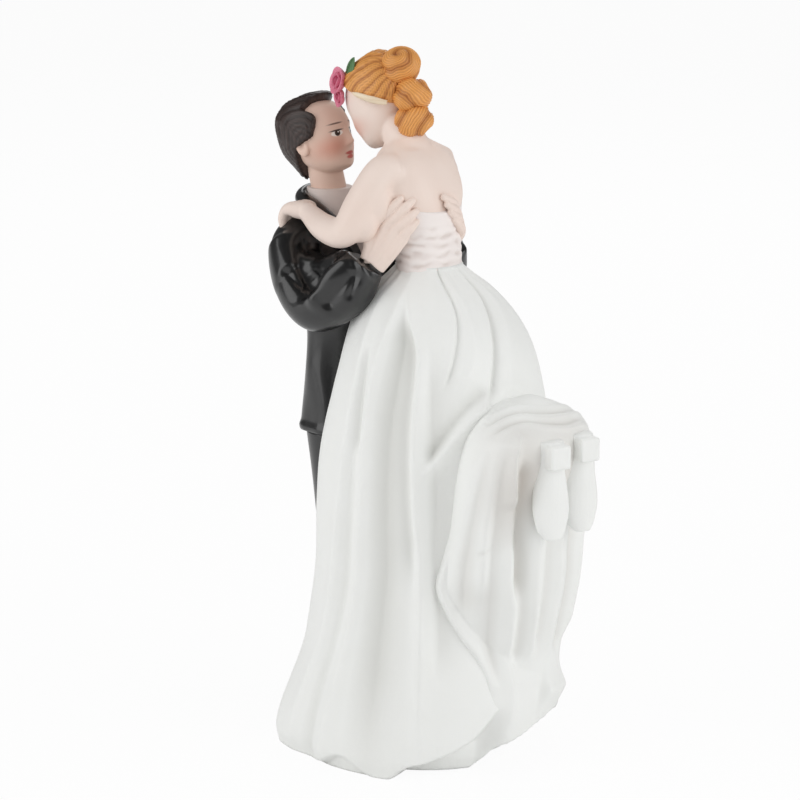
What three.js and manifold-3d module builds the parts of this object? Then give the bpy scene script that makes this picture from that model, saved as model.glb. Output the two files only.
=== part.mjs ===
// Wedding cake topper: a groom lifts his bride, hand-painted castings pegged and glued together.
// Millimetres, +Z up. +X runs from the groom to the bride, +Y to the groom's left.
// The origin is on the underside of the gown, in the middle of the skirt.
import * as THREE from "three";
import { mergeVertices } from "three/addons/utils/BufferGeometryUtils.js";
import Module from "manifold-3d";

const wasm = await Module();
wasm.setup();

// Joints between castings
const glueGap = 0.3;
const pegRadius = 1.1; // pegs are cast on one piece and sit in its neighbour
const pegLength = 3; // how far a peg reaches into its socket

// Groom: heights of the jacket
const jacketHemZ = 62;
const jacketWaistZ = 82;
const jacketChestZ = 98;
const jacketNeckZ = 108.4;

// Groom: places and half sizes [depth, width]
const jacketX = -20.2; // middle of the jacket at its waist
const neckX = -24.1; // he leans back from the waist
const legX = -17.1;
const legY = 4.75; // half the distance between the legs
const jacketHalf = { hem: [7.2, 10.2], waist: [6.2, 8.6], chest: [6.9, 10.6], neck: [4.4, 4.6] };
const trouserHalf = { cuff: [5, 3.9], knee: [4.6, 3.8], top: [5.9, 4.35] };
const shoe = { middleX: -14.6, halfLength: 8.3, halfWidth: 3.1, height: 5 };
const neckRadius = 3.5;
const groomHeadFromNeck = [-2.2, -1.3, 12.2];
const groomHeadTurn = { pitch: 18, yaw: 10 }; // degrees, nose up and to his left
// Shirt and lapels in level sections from the neck: [forward, rise, half depth, half width]
const shirtSections = [
  [1.4, -11, 7.7, 3], [0.9, -5.4, 7.3, 5.4], [0.4, -1.8, 6.4, 5.7], [0, 0.8, 5.3, 5.2], [-0.3, 2.4, 4.5, 4.6],
];
const lapelSections = [
  [1, -11, 8.8, 5.4], [0.6, -5.4, 8.4, 7.8], [0, -2, 7.6, 8], [-0.4, 0.2, 6.9, 7.3], [-0.7, 1.6, 6, 6.4],
];
// The collar's opening from the buttons up: [forward, rise, half width]
const collarOpening = [[8, -15.4, 0.5], [8, -9.4, 2.4], [7.2, -4.4, 4.8], [6.2, 1.6, 6.8]];

// Groom: sleeves from the shoulder, then from the cuff beside her waist: [forward, outward, rise]
const shoulderFromNeck = [0.9, 11, -8.4];
const sleeveRadius = { shoulder: 5.1, elbow: 4.8, cuff: 4.3 };
const cuffSag = [-0.9, 0, -2]; // the wide cuff hangs below the forearm
const sleeves = {
  right: {
    cuffFromWaist: [-4.8, 12.8, 1.8],
    fromShoulder: [[4.6, 4, -6.2], [10.7, 5.4, -10]],
    fromCuff: [-3, 2.2, -5.2],
  },
  left: {
    cuffFromWaist: [-5.8, 11.8, 1.6],
    fromShoulder: [[4.4, 3.8, -6.2], [10.4, 4.6, -9.8]],
    fromCuff: [-2.8, 2, -5],
  },
};
const sleeveRoot = [0.8, -3.4, 3]; // the sleeve's start inside the shoulder

// Groom: hands from the cuff, fingers from the first to the little one
const fingerRadius = 0.95;
const wristRadius = 2;
const palmHalf = [3.2, 1.7, 4];
const hands = {
  right: {
    palm: [3, -2.2, 3.8], palmTurn: 20, bow: [0.35, 0.7, 0], thumb: [[0, -1.2, 6.6], [1.1, -2.2, 10.6]],
    knuckles: [[1.2, -2.6, 7.7], [2.9, -2.8, 7], [4.5, -3.2, 6.1], [5.7, -3.8, 4.7]],
    tips: [[5.1, -4, 12.3], [7, -5.3, 12], [7.6, -5.8, 9.9], [7.6, -5.8, 7.8]],
  },
  left: {
    palm: [4.4, -1.2, 3.8], palmTurn: 40, bow: [2, 1.9, 0], thumb: [[1.4, -1.4, 5.6], [2.2, -2, 9]],
    knuckles: [[6, -2.2, 7.8], [6.8, -2.4, 6.2], [7.4, -2.7, 4.6], [7.7, -3, 3]],
    tips: [[11.4, -12.8, 12.4], [11.7, -12.1, 10.9], [11.8, -11.2, 9.3], [11.7, -10, 7.7]],
  },
};

// Both heads: the face looks along +X
const headHalfDepth = 7.2;
const headHalfWidth = 5.9;
const headHeight = 15.7;
const hairThickness = 1.1;
const noseHalf = [1.3, 0.85, 1.5];
const earHalf = [1.3, 0.6, 2];

// Bride: torso in level sections from the waist: [forward, rise, half depth, half width]
const waistX = 2.4;
const waistZ = 98; // top of the skirt
const torsoSections = [
  [0, 0, 5.2, 6.5], [-0.6, 5, 5.3, 6.9], [-1.9, 10, 6.1, 8.1], [-3, 14.5, 7.1, 8.9],
  [-3.9, 18, 6.8, 8.8], [-4.8, 21, 5.9, 8.2], [-5.4, 23, 4.6, 5.6],
];
const bodiceThickness = 0.7;
const bodiceBackRise = 10.7; // height of the bodice's edge over the waist on her back
const bodiceFrontRise = 15.5;
const brideNeckRadius = 3.2;
const brideHeadFromWaist = [-12.7, 0, 30.7];
const brideHeadTurn = { pitch: -28, yaw: 180 };

// Bride: shoulders from her waist, arms from her shoulder and then from his neck: [forward, outward, rise]
const armRadius = { shoulder: 3.5, elbow: 3, wrist: 2.1 };
const armRoot = [1.6, -2.8, 0.8];
const arms = {
  left: {
    fromWaist: [-4, 9.4, 18.6],
    fromShoulder: [[-1.8, 4, -5.8], [-3.6, 6.8, -11]],
    fromNeck: [[13.1, 15.4, -2.8], [6.9, 12.8, -1.4], [4.1, 11.4, -0.7]],
  },
  right: {
    fromWaist: [-4, 8.2, 16.8],
    fromShoulder: [[-3.4, 3.8, -4.4], [-6.4, 5.6, -8.6]],
    fromNeck: [[11.1, 14, -2], [6.3, 12.4, -1], [3.7, 11, -0.5]],
  },
};
const armpitHalf = [3.4, 3.2, 5]; // fills the corner between the upper arm and the back
const restingPalmHalf = [3, 2.8, 1.6];
const restingFinger = { spacing: 1.3, reach: 2.8, drop: 3.2 };

// Bride: rolled curls, rose, leaf and ribbon
const curlHalf = { upper: [4, 4, 3.8], middle: [3.7, 3.9, 3.4], lower: [3.7, 3.9, 3.4] };
const crownHalf = [5.2, 5.4, 5.3]; // the hair is fuller over the crown
const roseHalf = [2.3, 2, 2.4];
const budHalf = [1.8, 1.7, 1.8];
const leafHalf = [2.2, 1.2, 0.6];
const ribbonRadius = 0.62;

// Gown: radius about a leaning axis and the axis's X, both by the share of the skirt's height
const hemRadius = 27.3;
const skirtRadius = [
  [0, 0.97 * hemRadius], [0.04, hemRadius], [0.14, 0.963 * hemRadius], [0.255, 24.5], [0.39, 23],
  [0.51, 23.2], [0.63, 23], [0.715, 22.3], [0.785, 21], [0.845, 19.2], [0.9, 16.4], [0.95, 12.4],
  [0.98, 8.8], [1, 6.6],
];
const skirtAxisX = [[0, 2], [0.2, 2], [0.4, 2.5], [0.6, 3.5], [0.82, 4], [0.92, 3.5], [1, waistX]];
const groomHollow = 10; // how deep the skirt gives way to the groom's legs
const hollowSpread = [[0, 24], [0.57, 24], [0.63, 27], [0.69, 32], [0.755, 36], [1, 37]]; // degrees
const hollowTop = [6, 20]; // below the waist, where that hollow starts and is full
const hemFlare = 4; // the hem's points beside the groom's feet
const flareHeight = 24;
// The outer hem rises towards the back, where the underskirt stands back below it: [degrees, height]
const hemLine = [
  [-180, 0], [-112, 0], [-99, 1.2], [-88, 3.6], [-76, 0.6], [-66, 0], [-53, 3], [-29, 8], [-16, 13], [2, 17],
  [30, 14], [56, 4], [72, 0], [180, 0],
];
const hemTurnIn = 2;
const underskirtStep = { sides: 1, back: 9 };
// Folds are strokes on the cloth: height (a valley is negative), half widths of its two flanks in
// millimetres, and a line of [degrees, height above the table]
const skirtFolds = [
  [1.1, 2.4, 2, [[-103, 97], [-95, 84], [-97, 64], [-102, 41], [-106, 25], [-120, 8], [-124, -8]]],
  [-1, 2, 2.2, [[-89, 92], [-91, 66], [-93, 44], [-97, 28], [-108, 8], [-112, -8]]],
  [1.5, 2.4, 2.2, [[-76, 97], [-80, 89], [-84, 79], [-85, 66], [-85, 44], [-88, 28], [-96, 7], [-100, -10]]],
  [-1.8, 3.2, 3.2, [[-69, 95], [-70, 85], [-74, 72], [-74, 56], [-73, 36], [-74, 16], [-76, -10]]],
  [1.6, 3, 1.4, [[-69, 96], [-67, 86], [-63, 74], [-62, 63], [-59, 49], [-56, 35], [-54, 21], [-52, -8]]],
  [-1.7, 1.3, 3.2, [[-66, 95], [-56, 84], [-58, 75], [-57, 63], [-54, 50], [-51, 36], [-49, 20], [-46, 2]]],
  [-1.1, 0.8, 1.3, [[10, 99], [3, 93], [-6, 87], [-14, 80], [-20, 73]]],
  [0.7, 1.8, 2.6, [[18, 98], [12, 91], [4, 86], [-4, 80], [-8, 75]]],
  [-1.1, 1.6, 0.9, [[-18, 77], [-31, 74], [-42, 69], [-55, 62]]],
  [1.5, 0.9, 1.8, [[-19, 75], [-32, 71.5], [-42, 67], [-55, 60]]],
];
const mirroredFolds = 6; // the first strokes return on her right side
const mirrorShift = 6; // degrees by which they lie further round there

// Train over her calves: its reach to the back and its two edges in degrees, by the share of its height
const trainHemZ = 0.6;
const calfTopZ = 75.4;
const calfReachX = 38.4;
const trainReachX = [
  [0, 27.2], [0.086, 27.8], [0.15, 28.2], [0.232, 28.6], [0.369, 31], [0.506, 33.8], [0.634, 35],
  [0.744, 36.4], [0.826, 38], [0.89, calfReachX], [0.936, 37], [0.966, 33.5], [0.986, 29], [1, 22],
];
const trainEdgeTurn = { left: [6, 0.5], right: [3, 0.6] }; // how squarely each edge turns in
const trainLeftEdge = [
  [0, -25], [0.086, -23], [0.203, -21.8], [0.257, -23], [0.313, -27.4], [0.369, -34.3], [0.437, -41.3],
  [0.504, -46.3], [0.58, -43.5], [0.666, -40.3], [0.8, -37.8], [0.9, -34], [0.94, -29.5], [0.97, -23],
  [1, -8],
];
const trainRightEdge = [
  [0, 70], [0.126, 69], [0.19, 67], [0.26, 63.8], [0.326, 59.8], [0.393, 55], [0.46, 50.8], [0.527, 46.8],
  [0.594, 44], [0.66, 42.6], [0.727, 41.6], [0.794, 40], [0.86, 37], [0.93, 34], [1, 26],
];
const trainHemLine = [
  [-25, 0.6], [-20, 2.5], [-14.6, 4.9], [-6.4, 6], [0, 6.7], [13, 8.2], [31, 8.5], [50, 5], [70, 0.6],
];
const trainTuck = 5; // its sides run under the skirt by this much, and by twice as much below its hem
const trainFolds = [
  [1.8, 1.2, 1.8, [[-29, 71], [-31, 68.3], [-34.4, 60.6], [-36.5, 50.6], [-40.6, 41.5], [-41.7, 38],
    [-36.5, 32.9], [-29.2, 27.5], [-22.7, 23.3], [-18.8, 18.8], [-17.5, 8]]],
  [-1.4, 1.4, 2, [[-27.5, 70], [-30, 66], [-31.5, 59], [-33, 49], [-34.5, 42]]],
  [1.3, 1.6, 1.8, [[-21.8, 72.2], [-27.1, 68.1], [-28.7, 61.4], [-29.2, 53.3], [-29, 45.5], [-27.5, 36]]],
  [-1.5, 1.6, 1.8, [[-21.6, 70.3], [-25.3, 63.7], [-25.8, 53.6], [-25, 41.6], [-20.4, 28.2]]],
  [1.8, 1.4, 1, [[-18.7, 72.3], [-22, 67.6], [-21.9, 61.8], [-19.8, 55.3]]],
  [-3, 1.2, 1.8, [[-18.6, 66.7], [-17.4, 61.8], [-15.1, 56.6], [-12.7, 51.3]]],
  [1.3, 2.2, 1.4, [[-18.7, 50.5], [-17.6, 41.4], [-12.2, 27.9], [-6.8, 16.6], [-5, 8]]],
  [-1.4, 1.4, 1.8, [[-14.8, 50.3], [-13.6, 39], [-7.5, 25.3], [-4.5, 17]]],
  [1.4, 1.8, 1.8, [[-8, 49.8], [-7.2, 38.4], [-1.6, 24.7], [0.1, 18]]],
  [-1.3, 1.6, 1.8, [[-2.5, 47.1], [-0.7, 35.5], [5, 23.9]]],
  [1.2, 1.8, 1.8, [[3.1, 46.5], [6.1, 34.6], [10.8, 23.2]]],
  [-1.4, 2, 2.2, [[12, 58], [14, 44], [19, 30], [22, 20]]],
  [1.4, 2.2, 2, [[20, 66], [22, 50], [26, 36], [30, 22]]],
  [-1.4, 2, 2.4, [[28, 70], [31, 54], [35, 38], [38, 24]]],
  [1.2, 2.4, 1.2, [[34, 70], [38, 54], [41, 40], [46, 26], [48, 12]]],
  [2.2, 2.6, 2.6, [[4, 14], [14, 13.5], [26, 12.5], [40, 11]]],
];

// Bride's shoes: heels up, toes down, soles to the back and turned a little to her left
const brideShoe = { belowCalf: 6.4, behindTrain: 1.5, length: 19.2, halfWidth: 3.9, depth: 6.6, turn: -18 };
const shoeY = { left: -5.6, right: 3.2 };
const heelBlock = { reach: 1.6, width: 4.4, height: 4.6 };

const sideSign = { right: -1, left: 1 }; // the groom's sides; the bride faces him, so hers are swapped
const paint = {
  skin: [0xf0dccf, 0.55], brownHair: [0x3b2f2a, 0.45], black: [0x151515, 0.2], shirt: [0xece3e1, 0.5],
  gown: [0xefeeea, 0.5], blondeHair: [0xdf9f4c, 0.5], rose: [0xd8457f, 0.45], leaf: [0x4d7a4c, 0.5],
  ivory: [0xf6ead0, 0.5],
};

const radians = THREE.MathUtils.degToRad;
const smooth = THREE.MathUtils.smoothstep;
const between = THREE.MathUtils.lerp;

// A closed three.js geometry as a solid, and back
function solidOf(geometry) {
  geometry.deleteAttribute("normal");
  geometry.deleteAttribute("uv");
  const merged = mergeVertices(geometry, 1e-4);
  return new wasm.Manifold(new wasm.Mesh({
    numProp: 3,
    vertProperties: new Float32Array(merged.attributes.position.array),
    triVerts: new Uint32Array(merged.index.array),
  }));
}

function geometryOf(solid) {
  const mesh = solid.getMesh();
  const geometry = new THREE.BufferGeometry();
  geometry.setAttribute("position", new THREE.BufferAttribute(new Float32Array(mesh.vertProperties), 3));
  geometry.setIndex(new THREE.BufferAttribute(new Uint32Array(mesh.triVerts), 1));
  geometry.computeVertexNormals();
  return geometry;
}

// A smooth line through [place, value] pairs
function graph(pairs) {
  const slope = (i) => {
    const a = pairs[Math.max(i - 1, 0)];
    const b = pairs[Math.min(i + 1, pairs.length - 1)];
    return (b[1] - a[1]) / (b[0] - a[0]);
  };
  return (place) => {
    const last = pairs.length - 2;
    const next = pairs.findIndex((pair) => place < pair[0]);
    const i = next < 0 ? last : Math.min(Math.max(next - 1, 0), last);
    const span = pairs[i + 1][0] - pairs[i][0];
    const t = Math.min(Math.max((place - pairs[i][0]) / span, 0), 1);
    const rise = pairs[i + 1][1] - pairs[i][1];
    const bend = (1 - t) * (slope(i) * span - rise) - t * (slope(i + 1) * span - rise);
    return pairs[i][1] + t * rise + t * (1 - t) * bend;
  };
}

// A closed body made by bending a unit cylinder: place() moves the point at an angle, a height and a reach
function bent(sides, rings, place) {
  const geometry = new THREE.CylinderGeometry(1, 1, 1, sides, rings);
  geometry.rotateX(Math.PI / 2);
  const positions = geometry.attributes.position;
  const point = new THREE.Vector3();
  for (let i = 0; i < positions.count; i++) {
    point.fromBufferAttribute(positions, i);
    const angle = Math.atan2(point.y, point.x);
    const reach = Math.min(1, Math.hypot(point.x, point.y));
    place(point, angle, point.z + 0.5, reach);
    positions.setXYZ(i, point.x, point.y, point.z);
  }
  return solidOf(geometry);
}

function through(points) {
  return new THREE.CatmullRomCurve3(points.map((p) => new THREE.Vector3(...p)), false, "catmullrom");
}

// Level oval sections, each [x, y, z, half depth, half width]
function loft(stations, sides, rings, grow = 0) {
  const middles = through(stations.map((s) => s.slice(0, 3)));
  const halves = through(stations.map((s) => [s[3], s[4], 0]));
  return bent(sides, rings, (point, angle, t, reach) => {
    const middle = middles.getPoint(t);
    const half = halves.getPoint(t);
    point.set(
      middle.x + reach * (half.x + grow) * Math.cos(angle),
      middle.y + reach * (half.y + grow) * Math.sin(angle),
      middle.z + grow * (2 * t - 1),
    );
  });
}

// Sections given as [forward, rise, half depth, half width] from a place on the middle plane
function sectionsFrom(x, z, sections) {
  return sections.map(([forward, rise, depth, width]) => [x + forward, 0, z + rise, depth, width]);
}

// A round limb along points, with a radius at each
function limb(points, radii, sides, rings, grow = 0) {
  const path = through(points);
  const sizes = through(radii.map((r) => [r, 0, 0]));
  const up = new THREE.Vector3(0.31, 0.17, 1);
  return bent(sides, rings, (point, angle, t, reach) => {
    const along = path.getTangent(t);
    const across = new THREE.Vector3().crossVectors(up, along).normalize();
    const over = new THREE.Vector3().crossVectors(along, across);
    const radius = reach * (sizes.getPoint(t).x + grow);
    point.copy(path.getPoint(t)).addScaledVector(along, grow * (2 * t - 1));
    point.addScaledVector(across, radius * Math.cos(angle));
    point.addScaledVector(over, radius * Math.sin(angle));
  });
}

// A sphere scaled, turned by Euler degrees and moved
function egg(at, half, turn = [0, 0, 0], sides = 12, grow = 0) {
  const geometry = new THREE.SphereGeometry(1, sides, Math.round(sides * 0.7));
  geometry.scale(half[0] + grow, half[1] + grow, half[2] + grow);
  const euler = new THREE.Euler(...turn.map((degrees) => radians(degrees)));
  geometry.applyMatrix4(new THREE.Matrix4().makeRotationFromEuler(euler));
  geometry.translate(...at);
  return solidOf(geometry);
}

// A large block with one face through a point; the block lies behind that face
function block(at, normal) {
  const size = 400;
  const geometry = new THREE.BoxGeometry(size, size, size);
  geometry.translate(0, 0, -size / 2);
  const turn = new THREE.Quaternion().setFromUnitVectors(
    new THREE.Vector3(0, 0, 1), new THREE.Vector3(...normal).normalize());
  geometry.applyMatrix4(new THREE.Matrix4().makeRotationFromQuaternion(turn));
  geometry.translate(...at);
  return solidOf(geometry);
}

function peg(from, to, grow = 0, radius = pegRadius) {
  return limb([from, to], [radius, radius], 8, 1, grow);
}

const unite = (solids) => solids.reduce((a, b) => a.add(b));
const cut = (solid, ...others) => others.reduce((a, b) => a.subtract(b), solid);

// A cut can leave a crumb beside the piece, which is dropped
function largest(solid) {
  return solid.decompose().reduce((a, b) => (a.volume() > b.volume() ? a : b));
}

// A point from a place: forward is +X, outward is away from the middle plane, rise is +Z
function offset([x, y, z], [forward, outward, rise]) {
  return [x + forward, y + Math.sign(y) * outward, z + rise];
}
const onSide = ([x, y, z], sign) => [x, sign * y, z];

// A turn and a place as one matrix: pitch lifts the face and yaw turns it to +Y
function placing(at, { pitch, yaw }) {
  const turn = new THREE.Matrix4().makeRotationZ(radians(yaw));
  turn.multiply(new THREE.Matrix4().makeRotationY(radians(-pitch)));
  return new THREE.Matrix4().makeTranslation(...at).multiply(turn);
}
const moved = (solid, matrix) => solid.transform(matrix.elements);

// Heads. A place on a head is given in shares of its half depth, half width and height
const onHead = (x, y, z) => [x * headHalfDepth, y * headHalfWidth, z * headHeight];

function skull(grow = 0) {
  const shares = [
    [0.42, -0.5, 0.2, 0.28], [0.32, -0.435, 0.5, 0.58], [0.17, -0.28, 0.74, 0.82],
    [0.05, -0.09, 0.93, 0.95], [0, 0.13, 1, 1], [-0.05, 0.32, 0.88, 0.9],
    [-0.06, 0.44, 0.58, 0.6], [-0.06, 0.5, 0.22, 0.24],
  ];
  const stations = shares.map(([forward, rise, depth, width]) => [
    ...onHead(forward, 0, rise), depth * headHalfDepth, width * headHalfWidth]);
  return loft(stations, 14, 9, grow);
}

function nose(grow = 0) {
  return egg(onHead(0.99, 0, -0.1), noseHalf, [0, 20, 0], 8, grow);
}

function ear(sign, grow = 0) {
  return egg(onHead(-0.08, sign, -0.08), earHalf, [0, 0, 0], 10, grow);
}

// Hair lies over the crown and back of a head; the face and the nape are left free
function hairCap(form, foreheadShare, templeShare, napeShare) {
  const high = onHead(foreheadShare, 0, 0.34);
  const low = onHead(templeShare, 0, -0.12);
  const face = block(low, [low[2] - high[2], 0, high[0] - low[0]]);
  const nape = block(onHead(0, 0, napeShare), [0.35, 0, 1]);
  return cut(form, face, nape);
}

// Groom: trousers, shoes and jacket
function groomShoe(side, grow = 0) {
  const y = sideSign[side] * legY;
  const { middleX, halfLength, halfWidth, height } = shoe;
  return loft([
    [middleX, y, 0, halfLength, halfWidth], [middleX, y, 0.24 * height, halfLength, halfWidth],
    [middleX - 0.07 * halfLength, y, 0.5 * height, 0.88 * halfLength, 0.92 * halfWidth],
    [middleX - 0.34 * halfLength, y, 0.8 * height, 0.55 * halfLength, 0.8 * halfWidth],
    [middleX - 0.4 * halfLength, y, height, 0.4 * halfLength, 0.7 * halfWidth],
  ], 18, 5, grow);
}

function trouser(side, grow = 0) {
  const y = sideSign[side] * legY;
  const { cuff, knee, top } = trouserHalf;
  return loft([
    [legX, y, 0.6 * shoe.height, ...cuff], [legX, y, 0.2 * jacketHemZ, 0.94 * cuff[0], 0.97 * cuff[1]],
    [legX, y, 0.52 * jacketHemZ, ...knee],
    [between(legX, jacketX, 0.3), y, 0.81 * jacketHemZ, 0.95 * top[0], 0.98 * top[1]],
    [between(legX, jacketX, 0.8), y, jacketHemZ - glueGap, ...top],
  ], 16, 8, grow);
}

function hipPeg(side, grow = 0) {
  const x = between(legX, jacketX, 0.8);
  const y = sideSign[side] * legY;
  return peg([x, y, jacketHemZ - pegLength], [x, y, jacketHemZ + pegLength], grow);
}

function anklePeg(side, grow = 0) {
  const x = shoe.middleX - 0.4 * shoe.halfLength;
  const y = sideSign[side] * legY;
  return peg([x, y, 0.8 * shoe.height], [x, y, shoe.height + pegLength], grow);
}

function jacketForm(grow = 0) {
  const { hem, waist, chest, neck } = jacketHalf;
  const lean = (share) => between(jacketX, neckX, share);
  const skirtZ = between(jacketHemZ, jacketWaistZ, 0.4);
  const ribsZ = between(jacketWaistZ, jacketChestZ, 0.56);
  const shoulderZ = between(jacketChestZ, jacketNeckZ, 0.6);
  const slopeZ = between(jacketChestZ, jacketNeckZ, 0.865);
  return loft([
    [jacketX, 0, jacketHemZ, ...hem], [jacketX, 0, skirtZ, 0.96 * hem[0], 0.94 * hem[1]],
    [jacketX, 0, jacketWaistZ, ...waist], [lean(0.23), 0, ribsZ, 0.98 * chest[0], 0.93 * chest[1]],
    [lean(0.5), 0, jacketChestZ, ...chest], [lean(0.87), 0, shoulderZ, 0.87 * chest[0], 0.92 * chest[1]],
    [neckX, 0, slopeZ, 0.74 * chest[0], 0.62 * chest[1]], [neckX, 0, jacketNeckZ, ...neck],
  ], 18, 10, grow);
}

// The shirt fills the jacket's front opening and stands up as a collar round the neck
const shirtForm = (grow = 0) => loft(sectionsFrom(neckX, jacketNeckZ, shirtSections), 16, 5, grow);
const lapelForm = (grow = 0) => loft(sectionsFrom(neckX, jacketNeckZ, lapelSections), 18, 4, grow);
const collarGap = () => limb(
  collarOpening.map(([forward, rise]) => [neckX + forward, 0, jacketNeckZ + rise]),
  collarOpening.map(([, , half]) => half), 14, 5);

const groomNeck = [neckX, 0, jacketNeckZ];
const waist = [waistX, 0, waistZ];
const plus = (a, b) => a.map((v, axis) => v + b[axis]);
const shoulderAt = (side) => onSide(plus(groomNeck, shoulderFromNeck), sideSign[side]);
const cuffAt = (side) => onSide(plus(waist, sleeves[side].cuffFromWaist), sideSign[side]);

function sleeve(side, grow = 0) {
  const { fromShoulder, fromCuff } = sleeves[side];
  const { shoulder, elbow, cuff } = sleeveRadius;
  const upperArm = [sleeveRoot, [0, 0, 0], ...fromShoulder].map((step) => offset(shoulderAt(side), step));
  const forearm = [fromCuff, [0, 0, 0]].map((step) => offset(cuffAt(side), step));
  const arm = limb([...upperArm, ...forearm],
    [0.82 * shoulder, shoulder, shoulder, elbow, 1.02 * elbow, cuff], 14, 11, grow);
  const hanging = [upperArm.at(-1), ...forearm.map((at) => plus(at, cuffSag))];
  return unite([arm, limb(hanging, [0.94 * elbow, 0.96 * elbow, cuff], 14, 5, grow)]);
}

function shoulderPeg(side, grow = 0) {
  const at = shoulderAt(side);
  return peg(offset(at, [1, 1.5, -1.5]), offset(at, [1, -pegLength - 3, 0]), grow);
}

// A hand: palm, heel of the hand, four fingers that start in the palm and a thumb where it shows
function handForm({ wrist, palm, half, turn, knuckles, tips, bow, thumb }, grow) {
  const fingers = knuckles.map((knuckle, i) => {
    const root = palm.map((v, axis) => between(v, knuckle[axis], 0.3));
    const middle = knuckle.map((v, axis) => between(v, tips[i][axis], 0.48) + bow[axis]);
    const radii = [1.3, 1.15, 1, 0.75].map((share) => share * fingerRadius);
    return limb([root, knuckle, middle, tips[i]], radii, 6, 4, grow);
  });
  const heel = limb([wrist, palm], [wristRadius, 1.24 * wristRadius], 8, 1, grow);
  if (thumb) fingers.push(limb([palm, ...thumb], [1.6, 1.3, 0.9].map((n) => n * fingerRadius), 6, 3, grow));
  return unite([egg(palm, half, turn, 10, grow), heel, ...fingers]);
}

function groomHand(side, grow = 0) {
  const { palm, palmTurn, bow, thumb, knuckles, tips } = hands[side];
  const cuff = cuffAt(side);
  return handForm({
    wrist: cuff, palm: offset(cuff, palm), half: palmHalf, turn: [0, 22, -sideSign[side] * palmTurn],
    bow: onSide(bow, sideSign[side]), thumb: thumb.map((step) => offset(cuff, step)),
    knuckles: knuckles.map((step) => offset(cuff, step)), tips: tips.map((step) => offset(cuff, step)),
  }, grow);
}

function wristPeg(side, grow = 0) {
  const cuff = cuffAt(side);
  return peg(offset(cuff, [0.4, 0, 1]), offset(cuff, [-1.6, 1.2, 1 - pegLength]), grow);
}

// Bride: torso, bodice and arms
const torsoForm = (grow = 0) => loft(sectionsFrom(waistX, waistZ, torsoSections), 16, 10, grow);
const waistHalfDepth = torsoSections[0][2];
const bodiceSlope = [bodiceFrontRise - bodiceBackRise, 0, 2.5 * waistHalfDepth];
const bodiceEdge = (raise) => [waistX + waistHalfDepth, 0, waistZ + bodiceBackRise + raise];
const bodiceForm = (grow = 0) => cut(torsoForm(bodiceThickness + grow),
  block(bodiceEdge(grow - glueGap / 2), bodiceSlope.map((v) => -v)));
const torsoClear = () => unite([torsoForm(glueGap), bodiceForm(glueGap)]);
const bareTorso = () => cut(torsoForm(), block(bodiceEdge(glueGap / 2), bodiceSlope));

function waistPeg(grow = 0) {
  return peg([waistX, 0, waistZ + pegLength], [waistX, 0, waistZ - pegLength], grow, 2 * pegRadius);
}

function bustPeg(grow = 0) {
  const x = waistX - 0.3 * waistHalfDepth;
  const z = waistZ + bodiceBackRise;
  return peg([x, 0, z + pegLength], [x, 0, z - pegLength], grow, 2 * pegRadius);
}

const brideSign = { left: sideSign.right, right: sideSign.left };
const armTop = (side) => onSide(plus(waist, arms[side].fromWaist), brideSign[side]);

function armPath(side) {
  const { fromShoulder, fromNeck } = arms[side];
  const neck = [neckX, brideSign[side] * 1e-6, jacketNeckZ];
  return [
    ...[armRoot, [0, 0, 0], ...fromShoulder].map((step) => offset(armTop(side), step)),
    ...fromNeck.map((step) => offset(neck, step)),
  ];
}

// Her hands lie on his shoulders with the fingers over the edge
function restingHand(side, grow) {
  const [x, y, z] = armPath(side).at(-1);
  const sign = brideSign[side];
  const { spacing, reach, drop } = restingFinger;
  const [length] = restingPalmHalf;
  const knuckles = [-1.5, -0.5, 0.5, 1.5].map((n) => [x - 0.85 * length, y + (n - 0.45 * sign) * spacing, z]);
  const tips = knuckles.map(([kx, ky, kz]) => [kx - reach, ky - 0.7 * sign * spacing, kz - drop]);
  const palm = [x - 0.4 * length, y - 0.27 * sign * spacing, z];
  const wrist = [x + 0.4 * length, y, z];
  const bow = [-0.6, 0, 0.7];
  return handForm({ wrist, palm, half: restingPalmHalf, turn: [0, 6, 0], knuckles, tips, bow }, grow);
}

function brideArm(side, grow = 0) {
  const { shoulder, elbow, wrist } = armRadius;
  const radii = [shoulder, shoulder, 0.97 * shoulder, elbow, 0.93 * elbow, wrist, wrist];
  const path = armPath(side);
  const armpit = egg(plus(path[2], [1.8, -2.4 * brideSign[side], -0.6]), armpitHalf, [0, 0, 0], 12, grow);
  return unite([limb(path, radii, 10, 10, grow), armpit, restingHand(side, grow)]);
}

function armPeg(side, grow = 0) {
  const top = armTop(side);
  return peg(offset(top, [-0.6, 1.8, -1]), offset(top, [0.6, -2 * pegLength, -0.4]), grow);
}

// Gown: the skirt and the train over her calves
const skirtTopZ = waistZ - glueGap;
const skirtRadiusAt = (z) => graph(skirtRadius)(z / waistZ);
const skirtAxisAt = (z) => graph(skirtAxisX)(z / waistZ);
const turnBetween = (a, b) => THREE.MathUtils.euclideanModulo(a - b + 180, 360) - 180;

// How far the strokes lift the cloth at an angle and a height; each fades out towards both of its ends
function foldLift(folds, degrees, z, reach) {
  return folds.reduce((sum, [height, west, east, line]) => {
    let near = { distance: Infinity };
    for (let i = 0; i < line.length - 1; i++) {
      const across = reach * radians(line[i + 1][0] - line[i][0]);
      const up = line[i + 1][1] - line[i][1];
      const x = reach * radians(turnBetween(degrees, line[i][0]));
      const y = z - line[i][1];
      const t = THREE.MathUtils.clamp((x * across + y * up) / (across ** 2 + up ** 2), 0, 1);
      const distance = Math.hypot(x - t * across, y - t * up);
      const width = across * y - up * x > 0 ? east : west;
      if (distance < near.distance) near = { distance, width, along: (i + t) / (line.length - 1) };
    }
    const fade = smooth(near.along, 0, 0.16) * (1 - smooth(near.along, 0.84, 1));
    return sum + height * fade * Math.exp(-((near.distance / near.width) ** 1.4));
  }, 0);
}

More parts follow.
